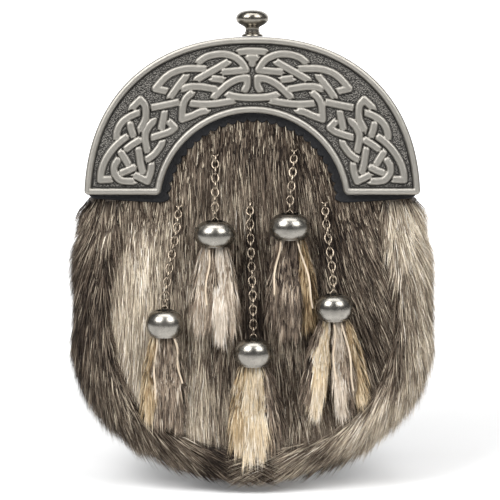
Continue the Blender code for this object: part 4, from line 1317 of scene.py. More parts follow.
def make_panel_skin():
    points, faces = skin_grid()
    skin = piece_from("panel_hide", points, faces, UNDERFUR)
    tone, cover, reach, rise = [], [], [], []
    for p in points:
        deep, parted = hollow_at(p)
        inside = bare(p.x, p.z)
        tone.append(tone_at(p.x, p.z, PATCHES, GROUND_TONE) - SHADE_BY_CHAIN * chain_shade(p))
        cover.append((inside > -HAIR_UNDER_APRON) * (1 - deep) * (1 - under_roll(p)))
        near_edge = 0.85 + 0.15 * smooth_step(-4 * MM, 10 * MM, inside)
        reach.append(near_edge * lip_room(p) * (1 - 0.45 * parted))
        rise.append(FLAT_UNDER_APRON + (1 - FLAT_UNDER_APRON) * smooth_step(0, 14 * MM, inside))
    set_coat(skin, comb=[comb_at(p.x, p.z) for p in points], tone=tone, cover=cover, reach=reach, rise=rise)
    return skin


panel_skin = make_panel_skin()
print("panel skin points:", len(panel_skin.data.vertices))

# %% Grow the front
UNDERCOAT = dict(Density=1.85e6, Lock_Density=1.0e6, Length=0.012, Width=0.00042, Lift=0.0020, Cling=0.5,
                 Tone_Spread=0.20, Lock_Tones=0.20)
OVERCOAT = dict(Density=2.35e6, Lock_Density=9.0e5, Length=0.0190, Width=0.00036, Lift=0.0044, Cling=0.60,
                Tone_Spread=0.26, Lock_Tones=0.26)
grow("panel_undercoat", panel_skin, Seed=21, **UNDERCOAT)
grow("panel_overcoat", panel_skin, nodes=("front_fur",), Seed=22, **OVERCOAT)

# %% [markdown]
# ## The fur roll
# The roll round the edge is a strip of fur sewn on with its hide inside. Its solid is remeshed to even
# faces and drawn in where hair grows, so that the hairs' tips end near the solid's surface. The hair is
# combed down the sides, and the nearer it lies to the front lip the more it follows the edge, to meet below
# the middle.

# %% How the roll is combed
FOLLOW = 0.76
FOLLOW_MORE = 0.21
FLARE = 0.05
FLARE_AT_TOP = 0.40
COMB_WANDER = 0.08


def border_comb(place, normal):
    """The direction in which the roll's hair is combed: down, along the edge, and a little outwards."""
    share, away = body_radial(place.x, place.z)
    side = math.copysign(1.0, place.x)
    along = Vector((away.z * side, 0, -away.x * side))
    if along.z > 0:
        along.negate()
    inner = 1 - smooth_step(0.84, 1.02, share)
    under = smooth_step(0.70, 0.98, -normal.z)
    follow = FOLLOW + FOLLOW_MORE * max(inner, under)
    flare = FLARE + FLARE_AT_TOP * smooth_step(-60 * MM, -18 * MM, place.z) * (1 - inner)
    comb = Vector((0, 0, -1)) * (1 - follow) + along * follow + away * flare * (1 - under)
    comb.x += COMB_WANDER * noise.noise((place.x * 40, place.y * 40, place.z * 40))
    return comb.normalized()


# %% The roll's depth and tone
HAIR_DEPTH = 3.9 * MM
SIDE_DEPTH = 1.9 * MM
CORNER_DEPTH = 3.4 * MM
BORDER_GROUND = 0.42


def hair_depth(place):
    """How far the skin lies under the outline: deeper beside the chains and at the two lower corners."""
    side = smooth_step(-12 * MM, -38 * MM, place.z) * smooth_step(-84 * MM, -58 * MM, place.z)
    corner = smooth_step(-100 * MM, -128 * MM, place.z) * smooth_step(16 * MM, 44 * MM, abs(place.x))
    right = 1.0 + 0.5 * smooth_step(0, 30 * MM, place.x)
    return HAIR_DEPTH + SIDE_DEPTH * side + CORNER_DEPTH * corner * right


def border_tone(place):
    """The roll's own tone, and on its inner lip the tone of the panel that runs up to it."""
    share = body_radial(place.x, place.z)[0] + 0.025 * noise.noise((place.x * 90, place.y * 90, place.z * 90))
    own = max(smooth_step(0.86, 0.92, share), smooth_step(0, -8 * MM, place.x),
              smooth_step(0.76, 0.80, share) * smooth_step(-54 * MM, -40 * MM, place.z),
              smooth_step(-118 * MM, -128 * MM, place.z))
    panel = tone_at(place.x * 0.95, place.z, PATCHES, GROUND_TONE) - 0.04
    return own * tone_at(place.x, place.z, BORDER_PATCHES, BORDER_GROUND) + (1 - own) * panel


# %% The skin of the roll
BORDER_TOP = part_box("border_fur")[1][2]
VOXEL = 2.2 * MM
LIP_RAISE = 3.2 * MM
TOP_RAISE = Vector((0, 0, 3.9 * MM))
TOP_WIDEN = 1.8 * MM


def settle(piece):
    """Turns a piece's modifiers into its mesh."""
    mesh = bpy.data.meshes.new_from_object(piece.evaluated_get(bpy.context.evaluated_depsgraph_get()))
    piece.modifiers.clear()
    piece.data = mesh
    return piece


def even_skin():
    """A copy of the roll's solid with small even faces."""
    source = bpy.data.objects["border_fur"]
    skin = bpy.data.objects.new("border_hide", source.data.copy())
    scene.collection.objects.link(skin)
    skin.data.materials.clear()
    outward(skin)
    remesh = skin.modifiers.new("even", "REMESH")
    remesh.mode = "VOXEL"
    remesh.voxel_size = VOXEL
    even = skin.modifiers.new("soften", "SMOOTH")
    even.factor = 0.6
    even.iterations = 14
    settle(skin)
    skin.data.materials.clear()
    skin.data.materials.append(UNDERFUR)
    return skin


def open_side(place, normal):
    """1 where the roll shows its hair, and 0 where it lies against the pouch."""
    share, away = body_radial(place.x, place.z)
    sideways = abs(normal.dot(away)) if share > 0.97 or place.y < -30 * MM else 0.0
    return smooth_step(0.05, 0.45, max(sideways, -normal.y))


def drawn_in(place, normal, facing):
    """Where a point of the roll goes: in by the hair's depth, up at the lip, and up and out at the top."""
    share, away = body_radial(place.x, place.z)
    moved = place - normal * hair_depth(place) * facing * (0.3 if away.dot(normal) < -0.3 else 1.0)
    moved -= away * LIP_RAISE * smooth_step(-104 * MM, -138 * MM, place.z) * smooth_step(1.03, 0.93, share)
    near_top = smooth_step(BORDER_TOP - 8 * MM, BORDER_TOP - 2 * MM, place.z)
    return moved + (TOP_RAISE * near_top + away * TOP_WIDEN * near_top * smooth_step(0.92, 0.99, share))


# %% Comb the roll
def make_border_skin():
    skin = even_skin()
    places = [v.co.copy() for v in skin.data.vertices]
    normals = [v.normal.copy() for v in skin.data.vertices]
    facing = [open_side(p, n) for p, n in zip(places, normals)]
    for vertex, place, normal, share in zip(skin.data.vertices, places, normals, facing):
        vertex.co = drawn_in(place, normal, share)
    top = BORDER_TOP - 2 * MM
    set_coat(
        skin,
        comb=[border_comb(p, n) for p, n in zip(places, normals)],
        tone=[border_tone(p) for p in places],
        cover=[f * (1 - smooth_step(-7 * MM, -3 * MM, p.y)) for f, p in zip(facing, places)],
        reach=[(0.9 + 0.1 * smooth_step(top, top - 10 * MM, p.z)) * (1 - 0.3 * smooth_step(0.6, 0.95, -n.z))
               for p, n in zip(places, normals)],
        rise=[(0.55 + 0.45 * (1 - smooth_step(BORDER_TOP - 14 * MM, BORDER_TOP, p.z)))
              * (1 - 0.6 * smooth_step(0.6, 0.95, -n.z)) for p, n in zip(places, normals)],
    )
    skin.data.shade_smooth()
    return skin


border_skin = make_border_skin()
print("border skin points:", len(border_skin.data.vertices))

# %% Grow the roll
BORDER_COAT = dict(Density=2.35e6, Lock_Density=9.0e5, Length=0.0170, Width=0.00037, Lift=0.0054,
                   Cling=0.58, Tone_Spread=0.26, Lock_Tones=0.26)
grow("border_coat_1", border_skin, Seed=31, **BORDER_COAT)
grow("border_coat_2", border_skin, nodes=("border_fur",), Seed=32, **BORDER_COAT)

# %% [markdown]
# ## Tassels
# Each tassel is a few strips cut from a pelt. Some show their fur and some stand on edge, so that the pale
# cut hide shows as a line. A strip's hide is a thin ribbon that leaves the cap's mouth, falls onto the coat
# and tapers, and the same hair tree covers its fur side.

# %% Strips
# Lengths are in millimetres from the middle of the cap's mouth. Turn is how far a strip stands on edge.
STRIPS = {
    "1": [
        dict(start=-4.6, end=-8.2, length=45, wide=4.6, tone=0.58, turn=-20, gold=True),
        dict(start=-4.0, end=-5.4, length=42, wide=1.8, tone=0.80, turn=86),
        dict(start=-1.6, end=-2.8, length=47, wide=5.4, tone=0.50, turn=-4),
        dict(start=1.4, end=2.6, length=46, wide=5.4, tone=0.44, turn=10),
        dict(start=4.0, end=8.2, length=34, wide=1.4, tone=0.55, turn=84),
        dict(start=4.2, end=7.0, length=49, wide=4.4, tone=0.46, turn=26),
    ],
    "2": [
        dict(start=-4.2, end=-8.0, length=45, wide=5.2, tone=0.70, turn=-18),
        dict(start=-2.4, end=-4.6, length=40, wide=1.6, tone=0.55, turn=86),
        dict(start=-0.8, end=-2.4, length=44, wide=3.6, tone=0.50, turn=24),
        dict(start=1.8, end=2.6, length=50, wide=5.6, tone=0.78, turn=0),
        dict(start=4.2, end=8.2, length=46, wide=4.8, tone=0.62, turn=22),
    ],
    "3": [
        dict(start=-4.4, end=-8.0, length=46, wide=5.2, tone=0.66, turn=-18, gold=True),
        dict(start=-1.2, end=-2.4, length=51, wide=5.6, tone=0.82, turn=0, gold=True),
        dict(start=2.0, end=3.8, length=50, wide=5.8, tone=0.78, turn=10, gold=True),
        dict(start=4.6, end=9.0, length=45, wide=5.0, tone=0.46, turn=26),
        dict(start=4.8, end=12.6, length=38, wide=3.0, tone=0.30, turn=34),
    ],
    "4": [
        dict(start=-4.4, end=-7.6, length=44, wide=4.4, tone=0.38, turn=-26),
        dict(start=-4.2, end=-8.4, length=40, wide=1.4, tone=0.62, turn=86),
        dict(start=-1.6, end=-3.2, length=51, wide=5.6, tone=0.34, turn=-4),
        dict(start=1.6, end=2.4, length=50, wide=5.6, tone=0.30, turn=10),
        dict(start=3.2, end=12.0, length=45, wide=2.0, tone=0.60, turn=86),
        dict(start=4.8, end=9.2, length=46, wide=5.2, tone=0.46, turn=26, gold=True),
    ],
    "5": [
        dict(start=-5.0, end=-12.4, length=44, wide=4.0, tone=0.40, turn=-26),
        dict(start=-3.4, end=-8.8, length=50, wide=6.2, tone=0.80, turn=-14, gold=True),
        dict(start=-0.2, end=0.6, length=40, wide=1.4, tone=0.50, turn=86),
        dict(start=1.4, end=3.8, length=50, wide=5.6, tone=0.72, turn=4),
        dict(start=3.4, end=8.0, length=46, wide=4.4, tone=0.46, turn=16),
        dict(start=3.4, end=10.4, length=46, wide=2.0, tone=0.75, turn=86),
        dict(start=4.8, end=13.0, length=44, wide=5.4, tone=0.60, turn=26, gold=True),
    ],
}
STRIP_THICKNESS = 0.8 * MM
HAIR_PAST_STRIP = 9.0
ON_EDGE = 55
EDGE_FORWARD = 4.3 * MM
STRIP_STEPS = 18
PALE_TIPS = 0.07


def strip_frames(number, row):
    """Places down a strip with its sideways and outward directions, its width and its share of the way."""
    low, high = (Vector(corner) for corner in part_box("bell_" + number))
    middle = (low + high) / 2
    frames = []
    for k in range(STRIP_STEPS + 1):
        down = k / STRIP_STEPS
        ease = down**0.8
        x = middle.x + (row["start"] + (row["end"] - row["start"]) * ease) * MM
        z = low.z + 2.5 * MM - (row["length"] - HAIR_PAST_STRIP) * MM * down
        skin = front_of(SHELL, x, z, shell_low.y) - 8.6 * MM
        lean = smooth_step(0.0, 0.55, down)
        y = middle.y + (skin - middle.y) * lean
        y -= 0.7 * MM * math.sin(7 * down + row["start"])
        if row["turn"] > ON_EDGE:
            y -= EDGE_FORWARD * smooth_step(0.0, 0.12, down)
            x += 0.6 * MM * math.sin(8 * down + 3 * row["start"])
        frames.append((Vector((x, y, z)), down))
    made = []
    turn = math.radians(row["turn"])
    for k, (place, down) in enumerate(frames):
        after = frames[min(k + 1, STRIP_STEPS)][0]
        before = frames[max(k - 1, 0)][0]
        along = (after - before).normalized()
        side = Vector((math.cos(turn), -math.sin(turn), 0))
        side = (side - along * side.dot(along)).normalized()
        out = side.cross(along).normalized()
        if out.y > 0:
            out.negate()
        widening = 0.55 + 0.45 * smooth_step(0, 0.35, down)
        width = row["wide"] * MM * widening * (1 - 0.45 * smooth_step(0.6, 1.0, down))
        made.append((place, side, out, along, width, down))
    return made


def make_tassel(name, number, rows):
    """The hides of a few strips as one piece, four faces round each. It is the skin for their hair too."""
    points, faces, bare_faces = [], [], []
    columns = dict(comb=[], tone=[], cover=[], reach=[], rise=[])
    for row in rows:
        on_edge = row["turn"] > ON_EDGE
        first = len(points)
        frames = strip_frames(number, row)
        for place, side, out, along, width, down in frames:
            for across, off in ((-0.5, 1), (0.5, 1), (0.5, -1), (-0.5, -1)):
                points.append(place + side * width * across + out * off * STRIP_THICKNESS / 2)
                fan = side * across * 0.12 + out * 0.06 * off
                columns["comb"].append((along + fan).normalized())
                paler = PALE_TIPS * smooth_step(0.45, 1.0, down) if row.get("gold") else 0.0
                uneven = 0.07 * noise.noise((across * 3, down * 4, row["start"]))
                columns["tone"].append(row["tone"] + paler + uneven)
                columns["cover"].append(0.0 if on_edge else (1.0 if off > 0 else 0.2))
                columns["reach"].append(0.65 + 0.35 * smooth_step(0.0, 0.4, down))
                columns["rise"].append(0.45 + 0.55 * smooth_step(0.0, 0.4, down))
        strip = strip_faces(len(frames), 4, around=True, first=first)
        last = first + 4 * (len(frames) - 1)
        strip += [(first + 3, first + 2, first + 1, first), (last, last + 1, last + 2, last + 3)]
        bare_faces += [on_edge] * len(strip)
        faces += strip
    hides = piece_from(name, points, faces, UNDERFUR, smooth=False)
    hides.data.materials.append(HIDE)
    hides.data.polygons.foreach_set("material_index", [int(on_edge) for on_edge in bare_faces])
    outward(hides, merge=False)
    set_coat(hides, **columns)
    return hides


TASSEL_COAT = dict(Density=6.2e6, Lock_Density=1.1e6, Length=0.0135, Width=0.00041, Lift=0.0018, Cling=0.52,
                   Tone_Spread=0.20, Lock_Tones=0.22)
for number in CAP_NUMBERS:
    plain = [row for row in STRIPS[number] if not row.get("gold")]
    golden = [row for row in STRIPS[number] if row.get("gold")]
    for kind, rows, finish in (("gold_", golden, GOLDEN_FUR), ("", plain, TASSEL_FUR)):
        if not rows:
            continue
        hides = make_tassel("tassel_" + kind + "hides_" + number, number, rows)
        grow("tassel_" + kind + "coat_" + number, hides, slot="pale_fur",
             nodes=() if kind else ("tassel_" + number,), finish=finish, Seed=40 + int(number), **TASSEL_COAT)
        drop_columns(hides.data, COAT_COLUMNS)
        hand_over(hides, "pale_fur")

for skin in (panel_skin, border_skin):
    drop_columns(skin.data, COAT_COLUMNS)
    hand_over(skin, "grey_fur")

# %% [markdown]
# ## The apron
# A sheet of black leather lies between the cantle and the fur. Its edge along the arch is pinked: a shaped
# punch leaves a row of small round lobes. The band that made the cantle makes it too, with a radius that
# rises and falls, and its edges are softened over most of the leather's thickness.

# %% Cut the apron
LOBE_PITCH = 4.7 * MM
LOBE_DEPTH = 1.6 * MM
LOBE_STEPS = 12
APRON_SOFT = 0.9 * MM
APRON_LIFT = 2.2 * MM
APRON_ACROSS = np.array([0.0, 0.006, 0.015, 0.03, 0.1, 0.4, 0.7, 0.9, 0.97, 0.985, 0.995, 1.0])


def make_apron():
    base = APRON_FOOT - ARCH_Z
    lobes = round(2 * math.acos(base / APRON_RADIUS) * APRON_RADIUS / LOBE_PITCH)
    columns = lobes * LOBE_STEPS + 1
    wave = np.abs(np.sin(math.pi * np.arange(columns) / LOBE_STEPS)) ** 0.8
    radius = APRON_RADIUS + LOBE_DEPTH * (0.75 - wave)
    half_width = (APRON_HIGH.x - APRON_LOW.x) / 2
    x, z, *edges = arched_band(columns, APRON_ACROSS, radius[:, None], half_width, base, (2 * MM, 3 * MM))
    low_share = np.clip(1 - edges[2] / (8 * MM), 0, 1)
    z = z + APRON_LIFT * low_share * np.clip((np.abs(x) - half_width * 0.6) / (half_width * 0.4), 0, 1)
    edge = np.clip(np.minimum(np.minimum(edges[0], edges[1]), edges[2]) / APRON_SOFT, 0, 1)
    thickness = APRON_HIGH.y - APRON_LOW.y
    front = -APRON_HIGH.y + thickness * (0.45 + 0.55 * np.sqrt(1 - (1 - edge) ** 2))
    grid = np.stack([x, -front, z + ARCH_Z], -1)
    back = np.stack([x[:, [-1, 0]], np.full((columns, 2), APRON_HIGH.y), z[:, [-1, 0]] + ARCH_Z], -1)
    grid = np.concatenate([grid, back], 1)
    around = grid.shape[1]
    faces = strip_faces(columns, around, around=True) + end_caps(around, (columns - 1) * around)
    apron = outward(piece_from("apron_leather", grid.reshape(-1, 3), faces, LEATHER), merge=False)
    apron.data.set_sharp_from_angle(angle=math.radians(50))
    return hand_over(apron, "black_leather", "apron")


make_apron()

# %% [markdown]
# ## The pouch
# The pouch is a leather gusset and front in one, closed by a flat back with a mouth in it. Its outline is the
# cantle's arch above and a rounded body below, with a slight waist between. Rings of that outline, first
# straight and then shrinking to the middle, make the wall, and Solidify gives it the leather's thickness.

# %% The pouch's outline
OUTLINE_POINTS = 220
BACK_THICKNESS = 2.4 * MM
POUCH_TOP = HALF_WIDTH - 3.0 * MM
POUCH_WAIST = 11 * MM


def rounded_width(height, wide, tall, squareness):
    """Half the width of a rounded-square outline at a height from its middle."""
    share = min(1.0, abs(height) / tall)
    return wide * (1 - share**squareness) ** (1 / squareness)


def pouch_width(z):
    top = rounded_width(max(0.0, z - ARCH_Z), POUCH_TOP, POUCH_TOP, SQUARENESS)
    body = rounded_width(z - BODY_Z, BODY_WIDE, BODY_TALL, BODY_SQUARENESS)
    return body + (top - body) * smooth_step(-POUCH_WAIST, POUCH_WAIST, z - ARCH_Z)


def evenly(line, count):
    """Evenly spaced places round a closed line."""
    steps = [0.0]
    for one, two in zip(line, line[1:] + line[:1]):
        steps.append(steps[-1] + (two - one).length)
    places, i = [], 0
    for k in range(count):
        wanted = steps[-1] * k / count
        while steps[i + 1] < wanted:
            i += 1
        share = (wanted - steps[i]) / (steps[i + 1] - steps[i])
        places.append(line[i].lerp(line[(i + 1) % len(line)], share))
    return places


def pouch_outline():
    """The pouch's outline from the top down the right side and up the left."""
    quarters = [k / 60 * math.pi / 2 for k in range(61)]
    heights = [ARCH_Z + POUCH_TOP * math.cos(a) ** (2 / SQUARENESS) for a in quarters]
    heights += [ARCH_Z + (BODY_Z - ARCH_Z) * k / 20 for k in range(1, 20)]
    heights += [BODY_Z - BODY_TALL * math.sin(a) ** (2 / BODY_SQUARENESS) for a in quarters]
    right = [Vector((pouch_width(z), 0, z)) for z in heights]
    return evenly(right + [Vector((-p.x, 0, p.z)) for p in reversed(right[1:-1])], OUTLINE_POINTS)


def inset_outline(outline, inset):
    """The outline moved in by a distance, along its own normals."""
    moved = []
    count = len(outline)
    for k, place in enumerate(outline):
        along = (outline[(k + 1) % count] - outline[k - 1]).normalized()
        moved.append(place + Vector((along.z, 0, -along.x)) * inset)
    return moved


POUCH_OUTLINE = pouch_outline()
print("pouch outline", len(POUCH_OUTLINE), "points")

# %% The pouch's wall
def make_pouch():
    middle = Vector((0, 0, (POUCH_OUTLINE[0].z + POUCH_OUTLINE[OUTLINE_POINTS // 2].z) / 2))
    rings = []
    for depth, swell in ((2.7, 0.0), (3.6, 0.10), (8.0, 0.25), (14.0, 0.35), (20.0, 0.25), (23.5, 0.0)):
        ring = inset_outline(POUCH_OUTLINE, -swell * MM)
        rings.append([Vector((p.x, -depth * MM, p.z)) for p in ring])
    for inset, drop in ((0.4, 4.2), (1.6, 1.9), (3.4, 0.5), (5.8, 0.0)):
        ring = inset_outline(POUCH_OUTLINE, inset * MM)
        rings.append([Vector((p.x, front_of(SHELL, p.x * 0.93, middle.z + (p.z - middle.z) * 0.93, -0.03)
                              + drop * MM, p.z)) for p in ring])
    for scale in (0.86, 0.7, 0.5, 0.3, 0.12):
        ring = [middle + (p - middle) * scale for p in POUCH_OUTLINE]
        rings.append([Vector((p.x, front_of(SHELL, p.x, p.z, -0.03), p.z)) for p in ring])
    points = [p for ring in rings for p in ring]
    faces = strip_faces(len(rings), OUTLINE_POINTS, around=True)
    faces.append(tuple(range((len(rings) - 1) * OUTLINE_POINTS, len(rings) * OUTLINE_POINTS)))
    pouch = outward(piece_from("pouch_leather", points, faces, LEATHER))
    if pouch.data.polygons[-1].normal.y > 0:
        pouch.data.flip_normals()
    wall = pouch.modifiers.new("leather", "SOLIDIFY")
    wall.thickness = 2.2 * MM
    wall.offset = -1
    return hand_over(settle(pouch), "black_leather", "pouch_shell")


make_pouch()

# %% [markdown]
# ## The back
# The photo shows only the front, so the back is made as such a pouch usually is. A flat panel has a slot
# for a mouth, a flap hangs over it, and two loops carry the wearing strap. The panel and the flap are cut
# from an outline and their edges are rounded with Bevel, as an edge slicker rounds real leather. The loops
# are swept from a section with rounded corners.

# %% Flat leather
def cut_sheet(name, outline, back, thickness, hole=None, soften=0.55 * MM):
    """A flat sheet from an outline of places, with its back face at a y and an optional hole."""
    shape = bmesh.new()
    loops = []
    for ring in [outline] + ([hole] if hole else []):
        verts = [shape.verts.new((p.x, back, p.z)) for p in ring]
        loops += [shape.edges.new((a, b)) for a, b in zip(verts, verts[1:] + verts[:1])]
    filled = bmesh.ops.triangle_fill(shape, use_beauty=True, use_dissolve=False, edges=loops)
    faces = [face for face in filled["geom"] if isinstance(face, bmesh.types.BMFace)]
    raised = bmesh.ops.extrude_face_region(shape, geom=faces)
    bmesh.ops.translate(shape, vec=(0, -thickness, 0),
                        verts=[v for v in raised["geom"] if isinstance(v, bmesh.types.BMVert)])
    bmesh.ops.recalc_face_normals(shape, faces=shape.faces)
    mesh = bpy.data.meshes.new(name)
    shape.to_mesh(mesh)
    shape.free()
    mesh.materials.append(LEATHER)
    sheet = bpy.data.objects.new(name, mesh)
    scene.collection.objects.link(sheet)
    edge = sheet.modifiers.new("slicked edge", "BEVEL")
    edge.width = soften
    edge.segments = 3
    edge.limit_method = "ANGLE"
    edge.angle_limit = math.radians(50)
    return settle(sheet)


def round_slot(centre_z, width, height, steps=12):
    """A slot with round ends, as places in the plane of the back."""
    radius = height / 2
    right = [Vector((width / 2 - radius + radius * math.sin(math.pi * k / steps), 0,
                     centre_z + radius * math.cos(math.pi * k / steps))) for k in range(steps + 1)]
    return right + [Vector((-p.x, 0, 2 * centre_z - p.z)) for p in right]


MOUTH_Z = ARCH_Z + 33 * MM
MOUTH_WIDTH = 76 * MM
MOUTH_HEIGHT = 22 * MM
mouth = round_slot(MOUTH_Z, MOUTH_WIDTH, MOUTH_HEIGHT)
panel = cut_sheet("back_leather", POUCH_OUTLINE, 0.0, BACK_THICKNESS, hole=mouth)
hand_over(panel, "black_leather", "back_panel")

# %% Flap
flap_low, flap_high = (Vector(corner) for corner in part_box("back_flap"))


def flap_outline(inset=0.0):
    """The flap's outline, square at the top and round below, moved in by a distance."""
    left, right = flap_low.x + inset, flap_high.x - inset
    corner = (flap_high.x - flap_low.x) / 4
    arc = [math.pi / 2 * k / 12 for k in range(13)]
    reach = corner - inset
    lower = [Vector((right - reach + reach * math.cos(a), 0, flap_low.z + corner - reach * math.sin(a)))
             for a in arc]
    other = [Vector((-p.x, 0, p.z)) for p in reversed(lower)]
    top = flap_high.z - inset
    return [Vector((right, 0, top))] + lower + other + [Vector((left, 0, top))]


flap = cut_sheet("flap_leather", flap_outline(), flap_high.y, flap_high.y - flap_low.y, soften=0.6 * MM)
hand_over(flap, "black_leather", "back_flap")

# %% Strap loops
LOOP_BEND_STEPS = 10


def make_strap_loop(name):
    """A strip over the strap's gap: flat feet, then two soft bends up to a bridge."""
    low, high = (Vector(corner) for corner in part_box(name))
    thickness = 2.0 * MM
    middle = Vector(((low.x + high.x) / 2, 0, (low.z + high.z) / 2))
    tall = (high.z - low.z) / 2
    rise = high.y - low.y - thickness
    heights = [tall, tall - 3 * MM]
    heights += [tall - (5 + 7 * k / LOOP_BEND_STEPS) * MM for k in range(LOOP_BEND_STEPS + 1)]
    heights = heights + [-h for h in reversed(heights)]
    width = high.x - low.x
    soft = 0.45 * MM
    section = [(-0.5, soft), (-0.5, thickness - soft), (-0.46, thickness - 0.1 * MM), (-0.4, thickness),
               (0.4, thickness), (0.46, thickness - 0.1 * MM), (0.5, thickness - soft), (0.5, soft),
               (0.46, 0.05 * MM), (-0.46, 0.05 * MM)]
    points = []
    for height in heights:
        lift = rise * (1 - smooth_step(tall - 12 * MM, tall - 5 * MM, abs(height)))
        for share, off in section:
            points.append(Vector((middle.x + share * width, low.y + lift + off, middle.z + height)))
    around = len(section)
    faces = strip_faces(len(heights), around, around=True) + end_caps(around, (len(heights) - 1) * around)
    loop = outward(piece_from("leather_" + name, points, faces, LEATHER), merge=False)
    loop.data.set_sharp_from_angle(angle=math.radians(50))
    return hand_over(loop, "black_leather", name)


for side in ("left", "right"):
    make_strap_loop("strap_loop_" + side)

# %% [markdown]
# ## Stitches
# Saddle stitches run a little inside each edge. They repeat along a path, as the links do, so the same idea
# serves: a short thread on evenly spaced points, each lying along the path.

# %% A stitch
STITCH_PITCH = 3.4 * MM


def stitch_mesh():
    """A thread 2.5 mm long and 0.5 mm thick that dips at its ends."""
    half, radius, sides = 1.25 * MM, 0.28 * MM, 5
    points = []
    for along, size in ((-1.0, 0.35), (-0.65, 1.1), (0.65, 1.1), (1.0, 0.35)):
        for side in range(sides):
            turn = 2 * math.pi * side / sides
            wide = radius * size
            points.append(Vector((wide * math.cos(turn), wide * math.sin(turn), half * along)))
    faces = strip_faces(4, sides, around=True) + end_caps(sides, 3 * sides)
    stitch = outward(piece_from("stitch", points, faces, THREAD), merge=False)
    scene.collection.objects.unlink(stitch)
    return stitch


def stitch_tree():
    group = new_geometry_tree("stitches on a path")
    input_socket(group, "Pitch", "NodeSocketFloat", STITCH_PITCH)
    input_socket(group, "Stitch", "NodeSocketObject")
    input_socket(group, "Material", "NodeSocketMaterial")
    tree = Tree(group)
    given = tree.add("NodeGroupInput", output="Geometry")
    points = tree.add("GeometryNodeCurveToPoints", {"mode": "LENGTH"},
                      {"Curve": given, "Length": given.out("Pitch")})
    stitch = tree.add("GeometryNodeObjectInfo", None, {"Object": given.out("Stitch")}, output="Geometry")
    placed = tree.add("GeometryNodeInstanceOnPoints", None,
                      {"Points": points, "Instance": stitch, "Rotation": points.out("Rotation")})
    close_tree(tree, placed, given.out("Material"))
    return group


def curve_from(lines):
    """A curve object with a straight-sided spline through each list of places. A closed one says so."""
    curve = bpy.data.curves.new("path", "CURVE")
    curve.dimensions = "3D"
    for places, closed in lines:
        spline = curve.splines.new("POLY")
        spline.points.add(len(places) - 1)
        spline.use_cyclic_u = closed
        for point, place in zip(spline.points, places):
            point.co = (*place, 1.0)
    base = bpy.data.objects.new("path", curve)
    scene.collection.objects.link(base)
    return base


def sew(name, lines):
    base = curve_from(lines)
    made = run_tree(name, STITCHES, base, Stitch=STITCH, Material=THREAD)
    bpy.data.objects.remove(base)
    return hand_over(made, "black_leather")


def at_depth(places, y):
    return [Vector((p.x, y, p.z)) for p in places]


STITCH = stitch_mesh()
STITCHES = stitch_tree()
ON_SURFACE = 0.06 * MM
MOUTH_SEAM = round_slot(MOUTH_Z, MOUTH_WIDTH + 7 * MM, MOUTH_HEIGHT + 7 * MM)
flap_seam = flap_outline(3.0 * MM)
flap_rows = [[Vector((x, 0, flap_high.z - down * MM)) for x in (flap_low.x + 3 * MM, flap_high.x - 3 * MM)]
             for down in (3.0, 7.0)]
back_seams = [(at_depth(inset_outline(POUCH_OUTLINE, 3.4 * MM), ON_SURFACE), True),
              (at_depth(MOUTH_SEAM, ON_SURFACE), True)]
flap_seams = [(at_depth(flap_seam[1:-1], flap_high.y + ON_SURFACE), False)]
flap_seams += [(at_depth(row, flap_high.y + ON_SURFACE), False) for row in flap_rows]
loop_seams = []
for side in ("left", "right"):
    low, high = (Vector(corner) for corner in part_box("strap_loop_" + side))
    for z in (low.z + 1.6 * MM, low.z + 5.0 * MM, high.z - 1.6 * MM, high.z - 5.0 * MM):
        row = [Vector((x, 0, z)) for x in (low.x + 1.2 * MM, high.x - 1.2 * MM)]
        loop_seams.append((at_depth(row, low.y + 2.0 * MM + ON_SURFACE), False))
sew("back_stitches", back_seams)
sew("flap_stitches", flap_seams)
sew("loop_stitches", loop_seams)

# %% [markdown]
# ## Stage
# A pale sweep, a soft box above on each side with a weak one overhead, and a camera far off, a little above
# and straight in front. The sweep glows a little, so that it stays pale where the boxes don't reach.

# %% Sweep
# The profile is in metres: y, and the height over the floor. It rises slowly behind the sporran and bends up
# into a wall far behind it.
FLOOR_Z = Vector(cad_box[0]).z - 1.5 * MM
SWEEP_GLOW = 0.06
SWEEP_FRONT_GLOW = 0.15
SWEEP_FRONT = 0.55
SWEEP_GREY = 0.80


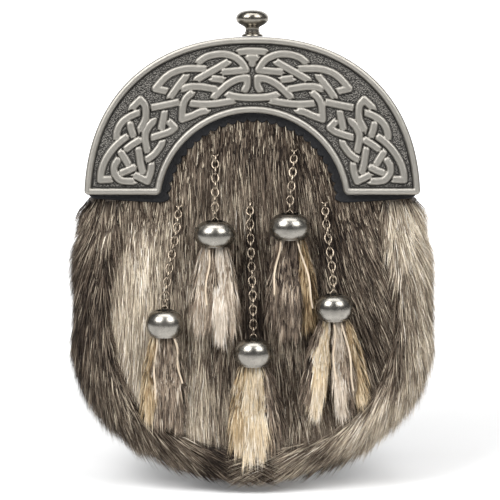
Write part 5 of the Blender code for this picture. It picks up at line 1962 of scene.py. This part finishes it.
def make_sweep():
    profile = [(-3.0, -0.30), (-0.3, -0.055), (-0.12, -0.020), (-0.06, -0.0075), (-0.03, -0.0022),
               (0.0, 0.003)]
    profile += [(0.04, 0.014), (0.08, 0.028), (0.12, 0.038), (0.16, 0.044), (0.3, 0.048)]
    profile += [(2.6 + 0.8 * math.sin(a), 0.85 - 0.8 * math.cos(a)) for a in (0.26 * k for k in range(7))]
    profile += [(3.4, 3.4)]
    points = [Vector((x, y, FLOOR_Z + z)) for y, z in profile for x in (-4.0, 4.0)]
    made, tree, shader = new_finish("pale_sweep")
    place = tree.add("ShaderNodeTexCoord", output="Object")
    back = tree.add("ShaderNodeSeparateXYZ", None, {"Vector": place}, output="Y")
    # painted light: the sweep glows, more on the floor in front of the sporran than just behind it, and fully
    # from 0.8 m back and on the wall
    set_shader(tree, shader, Roughness=0.9,
               Base_Color=ramp(tree, back * 0.5 + 0.5, (0.26, SWEEP_FRONT), (0.45, SWEEP_GREY)),
               Emission_Color=ramp(tree, back * 0.5 + 0.5, (0.496, SWEEP_FRONT_GLOW), (0.515, SWEEP_GLOW),
                                   (0.56, SWEEP_GLOW), (0.9, 1.0)), Emission_Strength=1.0)
    sweep = piece_from("sweep", points, strip_faces(len(profile), 2), made)
    return sweep


make_sweep()

# %% Lights
def soft_box(name, place, target, width, height, power):
    data = bpy.data.lights.new(name, "AREA")
    data.shape = "RECTANGLE"
    data.size = width
    data.size_y = height
    data.energy = power
    light = bpy.data.objects.new(name, data)
    light.location = place
    light.rotation_euler = (Vector(target) - Vector(place)).to_track_quat("-Z", "Y").to_euler()
    scene.collection.objects.link(light)
    return light


soft_box("box_left", (-0.85, -0.95, 0.95), (0, 0, -0.04), 0.95, 0.95, 27)
soft_box("box_right", (0.85, -0.95, 0.95), (0, 0, -0.04), 0.95, 0.95, 19.5)
soft_box("box_above", (0.0, -0.20, 0.95), (0, 0.02, FLOOR_Z), 1.0, 0.5, 6.5)
world = bpy.data.worlds.new("studio")
scene.world = world
world.use_nodes = True
world.node_tree.nodes["Background"].inputs["Color"].default_value = (1.0, 1.0, 1.0, 1)
world.node_tree.nodes["Background"].inputs["Strength"].default_value = 0.16
scene.view_settings.view_transform = "Standard"

# %% Camera
PHOTO_SCALE = 0.5 * MM
PHOTO_MIDDLE_X = 252.3
PHOTO_MIDDLE_Z = 169.5
IMAGE = 500
CAMERA_DISTANCE = 2.3
CAMERA_RISE = math.radians(1.8)
aim = Vector(((IMAGE / 2 - PHOTO_MIDDLE_X) * PHOTO_SCALE, cantle_low.y,
              (PHOTO_MIDDLE_Z - IMAGE / 2) * PHOTO_SCALE))
camera_data = bpy.data.cameras.new("camera")
camera_data.sensor_width = 36.0
camera_data.lens = 36.0 * CAMERA_DISTANCE / (IMAGE * PHOTO_SCALE)
camera = bpy.data.objects.new("camera", camera_data)
camera.location = aim + Vector((0, -math.cos(CAMERA_RISE), math.sin(CAMERA_RISE))) * CAMERA_DISTANCE
camera.rotation_euler = (aim - camera.location).to_track_quat("-Z", "Y").to_euler()
scene.collection.objects.link(camera)
scene.camera = camera
